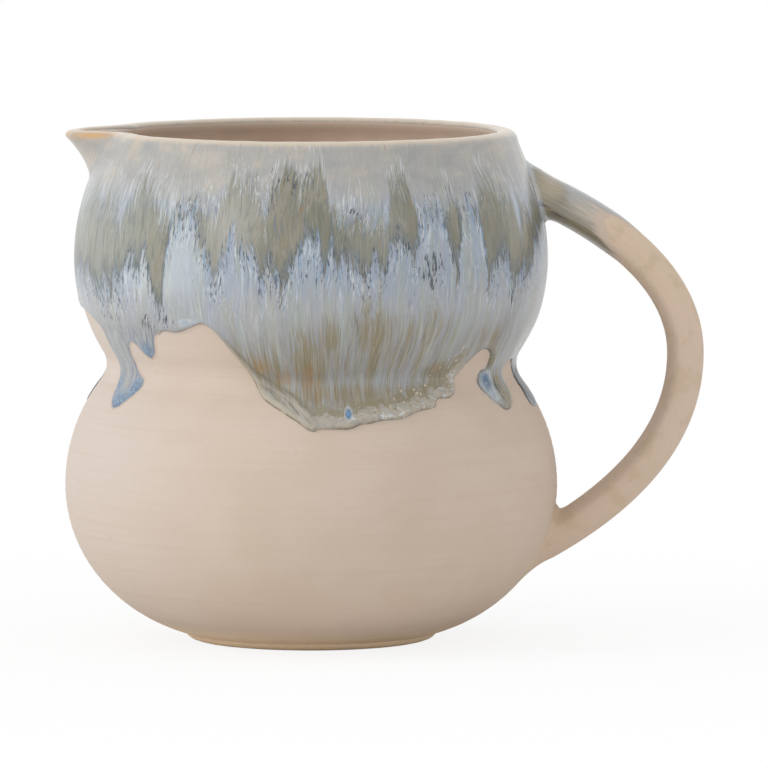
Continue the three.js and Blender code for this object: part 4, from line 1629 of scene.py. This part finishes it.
# Where the milk breaks into dark dashes
DASH_SPOTS = [
    Spot(31, 98, 5.2, 8, 1.0), Spot(24.4, 104, 1.6, 3, 0.8), Spot(58.4, 91, 1.6, 6, 1.0),
    Spot(-38, 85.2, 2.6, 2, 1.1), Spot(-45, 84, 3.6, 4, 1.0), Spot(-47.4, 78, 1.8, 4, 1.0),
    Spot(-48.6, 75.8, 1.2, 3, 0.95), Spot(-58, 87, 12, 7, 0.78), Spot(-63, 80, 3, 6, 0.6),
    Spot(-66.5, 95, 3, 2, 0.55), Spot(83, 65, 11, 10, 1.5), Spot(268, 64, 4, 5, 1.2),
    Spot(60.6, 66, 2.6, 4.6, 0.98), Spot(44, 116.5, 4, 2.5, 0.7), Spot(-3.5, 120, 7, 5, 0.8),
    Spot(-9.5, 114, 3, 6, 0.84), Spot(11, 112, 5, 4, 0.76), Spot(38, 118, 2, 4, 0.85),
    Spot(-1, 97, 6, 3.5, 0.7), Spot(11, 98, 4, 3, 0.6), Spot(-20, 92, 4, 5, 0.5),
    Spot(110, 97, 5, 5, 0.7), Spot(150, 99, 4, 6, 0.7), Spot(196, 98, 6, 4, 0.7),
    Spot(240, 97, 5, 5, 0.7),
]

# The marks by the names that the finish reads them by
MARKS = {
    "dash": DASH_SPOTS,
    "ochre": OCHRE_SPOTS,
    # The rust marks include one painted glint
    "rust": RUST_AND_GLINT_SPOTS,
    "pool": POOL_SPOTS,
    "blush": BLUSH_SPOTS,
    "veil": VEIL_SPOTS,
    "stain": STAIN_SPOTS,
}

# Where the glaze closes in as it drains: middle and half width in degrees, top, drop in mm, and squeeze
DRAINS = [
    (6, 64, 84, 26, 0.2), (-62, 30, 94, 22, 0.5), (146, 50, 80, 26, 0.5), (228, 45, 80, 26, 0.5),
]


@dataclass
class OuterGlaze:
    """Run glaze over the upper bulb and the rim, with an uneven lower edge and drips."""

    form: BodyForm
    sides: int = 680
    low: float = 55.5
    fine_top: float = 87.0
    fine_step: float = 0.5
    step: float = 1.0
    rim_rows: int = 18
    rim_turn: float = 0.96
    depth: float = 0.7
    rim_depth: float = 0.42
    bead: float = 0.45
    bead_spread: float = 2.0
    rounding: float = 1.2
    soft_rounding: float = 1.8
    soft_thinning: float = 0.6
    sunk: float = 0.06
    side_thinning: float = 0.7
    bed: float = 0.12
    flat_radius: float = 55.0
    edge_steps: int = 4
    edge_reach: float = 215.0
    thin_heights: Span = (118, 126)
    crumple: float = 0.26
    crumple_fine: float = 0.1
    crumple_spread: float = 4.0
    ripple: float = 0.06
    groove: float = 0.22
    groove_width: float = 0.55
    lip_taper: float = 0.9
    side_turns: tuple[Span, Span] = ((70, 78), (110, 100))
    side_heights: Span = (84, 74)
    front_crust: tuple[Span, Span] = ((-2, 3), (48, 43))
    back_crust: tuple[Span, Span] = ((128, 138), (164, 156))
    soft_turns: tuple[Span, Span] = ((-76, -72), (-39, -43))
    soft_heights: Span = (84, 80)
    hem_turns: tuple[Span, Span] = ((-25, -20), (3.5, 2))
    back_turns: Span = (81.0, 272.0)
    column_chance: float = 0.16
    ragged: float = 5.0
    hidden_step: int = 5

    def outline(self) -> Grid:
        """Lower edge of the glaze, rounded and repeated past both ends.

        Returns:
            Points as distance round the jug in mm, from the photographed side, and height.
        """
        points = np.array(GLAZE_EDGE)
        turn = np.array([360.0, 0.0])
        points = np.concatenate([points - turn, points, points + turn])
        before, start, end, after = points[:-3], points[1:-2], points[2:-1], points[3:]
        t = np.linspace(0, 1, self.edge_steps + 1)[:-1, None, None]
        bend = (end - before) * (t - 2 * t**2 + t**3) / 2 + (after - start) * (t**3 - t**2) / 2
        points = start + (end - start) * (3 * t**2 - 2 * t**3) + bend
        points = points.transpose(1, 0, 2).reshape(-1, 2)
        points = points[np.abs(points[:, 0]) < self.edge_reach]
        return points * (math.radians(1) * self.flat_radius, 1.0)

    def edge_distance(self, degrees: Grid, height: Grid) -> Grid:
        """Distance inside the glaze's lower edge.

        Args:
            degrees: Angles round the jug, by row and column.
            height: Heights, by row and column.

        Returns:
            Distances in millimetres, below 0 on bare clay.
        """
        line = self.outline()
        start, way = line[:-1], np.diff(line, axis=0)
        size = (way**2).sum(axis=1)
        made = np.empty(degrees.shape)
        for row in range(len(degrees)):
            round_jug = wrapped(degrees[row]) * math.radians(1) * self.flat_radius
            spot = np.stack([round_jug, height[row]], axis=-1)
            gap = spot[:, None] - start
            share = np.clip((gap * way).sum(axis=-1) / size, 0, 1)
            near = np.sqrt(((gap - share[..., None] * way) ** 2).sum(axis=-1).min(axis=1))
            spans = (start[:, 0] <= spot[:, None, 0]) != (start[:, 0] + way[:, 0] <= spot[:, None, 0])
            slope = way[:, 1] / np.where(way[:, 0] == 0, 1, way[:, 0])
            above = start[:, 1] + slope * gap[..., 0] > spot[:, None, 1]
            made[row] = np.where((spans & above).sum(axis=1) % 2 == 0, near, -near)
        return made

    def snapped(self, degrees: Grid, height: Grid, edge: Grid) -> tuple[Grid, Grid, Grid]:
        """Moves the points nearest the edge onto it.

        Args:
            degrees: Angles round the jug, by row and column.
            height: Heights, by row and column.
            edge: Distances inside the edge.

        Returns:
            New angles, heights and distances.
        """
        across = math.radians(360 / self.sides) * self.flat_radius
        turn = (np.roll(edge, -1, axis=1) - np.roll(edge, 1, axis=1)) / (2 * across)
        rise = np.gradient(edge, axis=0) / self.fine_step
        size = np.maximum(turn**2 + rise**2, 0.3)
        near = np.abs(edge) < 0.55 * max(across, self.fine_step)
        shift = np.where(near, edge / size, 0)
        degrees = degrees - np.degrees(shift * turn / self.flat_radius)
        return degrees, height - shift * rise, np.where(near, 0, edge)

    def faces(self, edge: Grid) -> list[Grid]:
        """Faces that lie inside the edge.

        Args:
            edge: Distances inside the edge by row and column, 0 on the edge itself.

        Returns:
            Quads, and triangles where the edge cuts a quad.
        """
        quads = quads_of(numbered(*edge.shape)).reshape(-1, 4)
        inside = edge.ravel()[quads]
        whole = (inside >= 0).all(axis=1) & (inside > 0).any(axis=1)
        cut = ((inside < 0).sum(axis=1) == 1) & (inside > 0).any(axis=1)
        corners = []
        for skip in range(4):
            one = quads[cut & (inside[:, skip] < 0)]
            corners.append(np.delete(one, skip, axis=1))
        return [quads[whole], np.concatenate(corners)]

    def base(self) -> tuple[Grid, Grid, Grid, int]:
        """Clay surface under the glaze, from below the drips up over the rim to the inside.

        Returns:
            Points, angles and distances inside the edge by row and column, and the number of fine rows.
        """
        form = self.form
        angles = np.linspace(-180, 180, self.sides, endpoint=False)
        middle, _ = form.rim(angles)
        fine = np.arange(self.low, self.fine_top, self.fine_step)
        degrees, height = np.meshgrid(angles, fine)
        edge = self.edge_distance(degrees, height)
        degrees, height, edge = self.snapped(degrees, height, edge)
        count = int((form.rim_height - self.fine_top) / self.step)
        climb = np.linspace(0, 1, count)[:, None]
        upper = self.fine_top + (middle - self.fine_top) * climb
        turns = np.linspace(0, np.pi * self.rim_turn, self.rim_rows + 1)[1:]
        points = np.concatenate(
            [
                around(degrees, form.outer(degrees, height), height),
                around(angles, form.outer(angles, upper), upper),
                around(angles, *form.rim_arc(angles, turns)),
            ]
        )
        rest = len(points) - len(fine)
        degrees = np.concatenate([degrees, np.broadcast_to(angles, (rest, self.sides))])
        above = np.cumsum(np.linalg.norm(np.diff(points[len(fine) - 1 :], axis=0), axis=-1), axis=0)
        edge = np.concatenate([edge, np.clip(edge[-1], 1, None) + above])
        return points, degrees, edge, len(fine)

    def thickness(self, points: Grid, degrees: Grid, edge: Grid, from_lip: Grid) -> Grid:
        """Depth of the glaze.

        Args:
            points: Clay surface by row and column.
            degrees: Angles round the jug.
            edge: Distances inside the lower edge.
            from_lip: Distances from the end inside the rim.

        Returns:
            Depths in millimetres.
        """
        height = points[..., 2]
        inside = np.clip(edge, 0, None)
        soft = self.softness(degrees, height)
        rounding = self.rounding + self.soft_rounding * soft
        round_off = np.sqrt(1 - (1 - np.clip(inside / rounding, 0, 1)) ** 2)
        round_off = round_off + soft * (0.03 + 0.97 * smoothstep(0, rounding, inside) - round_off)
        deep = self.depth + (self.rim_depth - self.depth) * smoothstep(*self.thin_heights, height)
        grain = Grain(3)
        front = self.crust(degrees)
        bead = self.bead * (0.5 + 0.5 * front) * (1 + 0.5 * grain.at(points + 20, 6.0))
        deep = deep + bead * np.exp(-((inside / self.bead_spread) ** 2))
        crumple = self.crumple * grain.at(points, 2.4) + self.crumple_fine * grain.at(points + 40, 1.2)
        deep = deep + front * np.exp(-((inside / self.crumple_spread) ** 2)) * crumple
        deep = (deep - self.groove * self.folded(degrees, height)[1]) * (1 - self.soft_thinning * soft)
        deep = deep + self.ripple * grain.at(points * (1, 1, 0.3), 4.0)
        side = between(np.abs(wrapped(degrees)), *self.side_turns)
        deep = deep * (1 - self.side_thinning * side * smoothstep(*self.side_heights, height))
        made = deep * round_off * np.sqrt(1 - (1 - np.clip(from_lip / self.lip_taper, 0, 1)) ** 2)
        return made - self.sunk * soft * smoothstep(1.2, 0, inside)

    def crust(self, degrees: Grid) -> Grid:
        """Share of the crumpled crust along the deepest part of the apron, in front and behind."""
        return np.maximum(between(degrees, *self.front_crust), between(degrees, *self.back_crust))

    def softness(self, degrees: Grid, height: Grid) -> Grid:
        """Share of the thin runs on the spout's side, whose edges fade into the clay."""
        return between(degrees, *self.soft_turns) * smoothstep(*self.soft_heights, height)

    def folded(self, degrees: Grid, height: Grid) -> tuple[Grid, Grid]:
        """The hem along the apron's left side, where the glaze ran sideways to its lowest tip.

        Args:
            degrees: Angles round the jug.
            height: Heights.

        Returns:
            Shares of the hem, and of the dark groove that parts it from the rest.
        """
        over = height - np.interp(degrees, *np.array(HEM_TOP).T)
        there = between(degrees, *self.hem_turns)
        return there * smoothstep(0.4, -0.8, over), there * np.exp(-((over / self.groove_width) ** 2))

    def coat_edges(self) -> tuple[Grid, Grid]:
        """Where the hanging coat ends and the flames below it begin, with random ones behind the jug.

        Returns:
            Angles with heights for the hanging edge, and the same for the flames' tops.
        """
        draw = np.random.default_rng(11)
        hanging, flames = list(HANGING_EDGE), list(FLAME_EDGE)
        turn, end = self.back_turns
        while turn < end:
            column = draw.uniform() < self.column_chance
            tip = draw.uniform(109, 113) if column else draw.uniform(94, 105)
            flames.append((turn, tip))
            hanging.append((turn + 0.7, draw.uniform(109, 121)))
            turn += draw.uniform(1.1, 3.0)
            if column:
                turn += draw.uniform(0, 4)
                flames.append((turn, tip + draw.uniform(-2, 1)))
                turn += draw.uniform(0.8, 1.6)
        return np.array(hanging, float), np.array(flames, float)

    def window_share(self, degrees: Grid, height: Grid) -> tuple[Grid, Grid]:
        """How far the olive glass shows between the edges, and how far above the flames a point lies.

        Args:
            degrees: Angles round the jug.
            height: Heights.

        Returns:
            Values from -2.4 to 1.5 in widths of the ragged edge, above 0 where the glass shows, and
            heights above the flames' tops in the same widths.
        """
        hanging, flames = self.coat_edges()
        turn = degrees % 360
        top, foot = (
            np.interp(turn, *np.array(sorted((a % 360, h) for a, h in edge)).T, period=360)
            for edge in (hanging, flames)
        )
        sink = (height - foot) / self.ragged
        return np.clip(np.minimum((top - height) / self.ragged, sink), -2.4, 1.5), np.clip(sink, -1, 4)

    def spots(self, marks: list[Spot], degrees: Grid, height: Grid) -> Grid:
        """The strongest of some soft marks at each point.

        Args:
            marks: The marks.
            degrees: Angles round the jug.
            height: Heights.

        Returns:
            Strengths from 0 up.
        """
        made = np.zeros(degrees.shape)
        for one in marks:
            across = wrapped(degrees - one.turn) * math.radians(1) * self.flat_radius / one.wide
            up = (height - one.height) / one.high
            made = np.maximum(made, one.strength * np.exp(-(across**2) - up**2))
        return made

    def flow(self, degrees: Grid, height: Grid) -> Grid:
        """Where the glaze at each point came from, so that its streaks close in on the drips.

        Args:
            degrees: Angles round the jug.
            height: Heights.

        Returns:
            Points in millimetres on a plain cylinder.
        """
        turn = degrees.copy()
        for middle, half, top, drop, squeeze in DRAINS:
            away = wrapped(degrees - middle)
            near = smoothstep(half, half * 0.55, np.abs(away))
            turn = turn + near * away * squeeze * np.clip((top - height) / drop, 0, 1.2) ** 1.3
        return around(turn, np.full(turn.shape, self.flat_radius), height)

    def build(self) -> bpy.types.Object:
        """Makes the glaze's mesh with what its finish reads.

        Returns:
            The glaze.
        """
        points, degrees, edge, fine_rows = self.base()
        height = points[..., 2]
        down = np.linalg.norm(np.diff(points, axis=0), axis=-1)
        from_lip = np.concatenate([np.cumsum(down[::-1], axis=0)[::-1], np.zeros((1, self.sides))])
        out = normals(points)
        outer = points + out * self.thickness(points, degrees, edge, from_lip)[..., None]
        inner = points - out * self.bed
        crest = np.abs(from_lip - from_lip[-1 - round(self.rim_rows * (1 - 0.5 / self.rim_turn))])
        window, sink = self.window_share(degrees, height)
        soft = self.softness(degrees, height)
        hem, fold = self.folded(degrees, height)
        values = {
            "flow": self.flow(degrees, height),
            "window": window,
            "sink": sink,
            "edge": np.clip(edge, 0, 30),
            "soft": soft,
            "fade": soft * smoothstep(1.9, 0.5, edge),
            "crust": self.crust(degrees),
            "rim": crest,
            "hem": hem,
            "fold": fold,
        }
        values |= {name: self.spots(marks, degrees, height) for name, marks in MARKS.items()}
        faces = self.faces(edge)
        shell = Shell()
        shell.add_slab(outer, inner, faces, self.thinned(faces, fine_rows, len(points)), **values)
        return shell.make("outer_glaze")

    def thinned(self, faces: list[Grid], fine_rows: int, rows: int) -> list[Grid]:
        """Faces for the hidden side, with fewer rows above the drips.

        Args:
            faces: Faces of the outer side.
            fine_rows: Number of rows that the drips reach.
            rows: Number of rows in all.

        Returns:
            Faces with the same outline.
        """
        limit = (fine_rows - 1) * self.sides
        kept = [one[(one < limit + self.sides).all(axis=1)] for one in faces]
        stops = list(range(fine_rows - 1, rows - 1, self.hidden_step)) + [rows - 1]
        index = np.array(stops)[:, None] * self.sides + np.arange(self.sides)
        return [*kept, quads_of(index).reshape(-1, 4)]


@dataclass
class Jug:
    """The whole jug: builds its pieces, dresses them and ties them to the frame."""

    form: BodyForm

    def pieces(self) -> list[tuple[bpy.types.Object, Slot, bpy.types.Material]]:
        """Makes every piece.

        Returns:
            Pieces with their slots and materials, in the order that they are reported.
        """
        handle = Handle(self.form)
        upper, spout = UpperWall(self.form).build()
        clay, glaze = ClayFinish().material(), RunGlazeFinish().material()
        # The handle's copy of the clay carries painted light on its upper part
        strap = ClayFinish(
            base=(211, 190, 168),
            pale=(214, 192, 174),
            warm=(200, 178, 148),
            upper_lightening=0.5,
            lines=0.0,
            mottling=0.5,
        ).material("handle_clay_with_painted_light")
        return [
            (Foot(self.form).build(), Slot.CLAY, clay),
            (LowerBowl(self.form).build(), Slot.CLAY, clay),
            (upper, Slot.CLAY, clay),
            (spout, Slot.CLAY, clay),
            (handle.build(), Slot.CLAY, strap),
            (OuterGlaze(self.form).build(), Slot.RUN_GLAZE, glaze),
            (HandleGlaze(handle).build(), Slot.RUN_GLAZE, glaze),
            (Liner(self.form).build(), Slot.CLEAR_GLAZE, LinerFinish().material()),
        ]

    def build(self) -> None:
        """Makes, dresses and places the pieces."""
        for piece, slot, finish in self.pieces():
            node = piece.name.split(".")[0]
            piece.name = f"{node}_dressed"
            piece.data.materials.append(finish)
            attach(piece, "root")
            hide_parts(node)
            mesh = piece.data
            log.info("%s: %d points, %d faces", piece.name, len(mesh.vertices), len(mesh.polygons))


@dataclass
class Studio:
    """White table, soft light and the photograph's camera."""

    camera_place: tuple[float, float, float] = (0.0185, -2.6, 0.296)
    camera_pitch: float = 84.92
    lens: float = 481.6
    sensor: float = 36.0
    fill: float = 0.77
    key_power: float = 17.0
    lamp_size: float = 1.3
    key_place: tuple[float, float, float] = (-1.8, -0.75, 1.15)
    top_power: float = 1.4
    top_place: tuple[float, float, float] = (1.1, -0.2, 1.9)
    aim_height: float = 0.07
    clip: Span = (0.1, 50)
    floor_half: float = 6.0
    floor_colour: Colour = (250, 249, 248)
    floor_roughness: float = 0.9
    floor_shine: float = 0.1
    floor_fade: Span = (0.03, 0.3)
    floor_white: Span = (0.86, 1.0)

    def build(self) -> None:
        """Makes the floor, the lights and the camera."""
        self.floor()
        self.world()
        self.lamp("soft_key", self.key_power, self.key_place)
        self.lamp("soft_top", self.top_power, self.top_place)
        self.camera()
        bpy.context.scene.view_settings.view_transform = "Standard"

    def floor(self) -> None:
        """Makes the table, which fades into the white behind it and keeps the jug's shadow."""
        mesh = bpy.data.meshes.new("table")
        h = self.floor_half
        mesh.from_pydata([(-h, -h, 0), (h, -h, 0), (h, h, 0), (-h, h, 0)], [], [(0, 1, 2, 3)])
        table = bpy.data.objects.new("table", mesh)
        bpy.context.scene.collection.objects.link(table)
        g = Graph("white_table")
        g.shader.inputs["Base Color"].default_value = linear(self.floor_colour)
        g.shader.inputs["Roughness"].default_value = self.floor_roughness
        g.shader.inputs["Specular IOR Level"].default_value = self.floor_shine
        spot = g.node("ShaderNodeTexCoord").outputs["Object"]
        away = g.node("ShaderNodeVectorMath")
        away.operation = "LENGTH"
        g.put(away.inputs[0], spot)
        fade = g.ease(away.outputs["Value"], *self.floor_fade, *self.floor_white)
        ray = g.node("ShaderNodeLightPath").outputs["Is Camera Ray"]
        white = g.node("ShaderNodeEmission", Color=(1, 1, 1, 1), Strength=1.0)
        blend = g.node("ShaderNodeMixShader", Fac=g.times(fade, ray))
        g.put(blend.inputs[1], g.shader.outputs[0])
        g.put(blend.inputs[2], white.outputs[0])
        g.put(g.tree.nodes["Material Output"].inputs["Surface"], blend.outputs[0])
        mesh.materials.append(g.material)

    def world(self) -> None:
        """Makes the surround: white to look at and in reflections, dimmer as a light."""
        world = bpy.data.worlds.new("surround")
        world.use_nodes = True
        nodes, links = world.node_tree.nodes, world.node_tree.links
        ray = nodes.new("ShaderNodeLightPath")
        seen = ray.outputs["Is Camera Ray"]
        for kind in ("Is Glossy Ray", "Is Transmission Ray"):
            either = nodes.new("ShaderNodeMath")
            either.operation = "MAXIMUM"
            links.new(seen, either.inputs[0])
            links.new(ray.outputs[kind], either.inputs[1])
            seen = either.outputs[0]
        strength = nodes.new("ShaderNodeMapRange")
        links.new(seen, strength.inputs[0])
        strength.inputs["To Min"].default_value = self.fill
        strength.inputs["To Max"].default_value = 1.0
        links.new(strength.outputs[0], nodes["Background"].inputs["Strength"])
        nodes["Background"].inputs["Color"].default_value = (1, 1, 1, 1)
        bpy.context.scene.world = world

    def lamp(self, name: str, power: float, place: tuple[float, float, float]) -> None:
        """Makes a large soft lamp that faces the jug.

        Args:
            name: Name of the lamp.
            power: Its power in watts.
            place: Where it hangs, in metres.
        """
        lamp = bpy.data.lights.new(name, "AREA")
        lamp.shape = "DISK"
        lamp.size = self.lamp_size
        lamp.energy = power
        made = bpy.data.objects.new(name, lamp)
        made.location = place
        aim = Vector((0, 0, self.aim_height)) - made.location
        made.rotation_euler = aim.to_track_quat("-Z", "Y").to_euler()
        made.visible_glossy = False
        bpy.context.scene.collection.objects.link(made)

    def camera(self) -> None:
        """Makes the long-lens camera a little above the rim."""
        lens = bpy.data.cameras.new("photograph")
        lens.lens = self.lens
        lens.sensor_width = self.sensor
        lens.clip_start, lens.clip_end = self.clip
        made = bpy.data.objects.new("photograph", lens)
        made.location = self.camera_place
        made.rotation_euler = (math.radians(self.camera_pitch), 0, 0)
        bpy.context.scene.collection.objects.link(made)
        bpy.context.scene.camera = made


def main() -> None:
    """Builds the jug and its studio."""
    logging.basicConfig(level=logging.INFO, format="%(name)s: %(message)s")
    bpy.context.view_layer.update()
    Jug(BodyForm.from_frame()).build()
    Studio().build()
    bpy.context.view_layer.update()


if __name__ == "__main__":
    main()
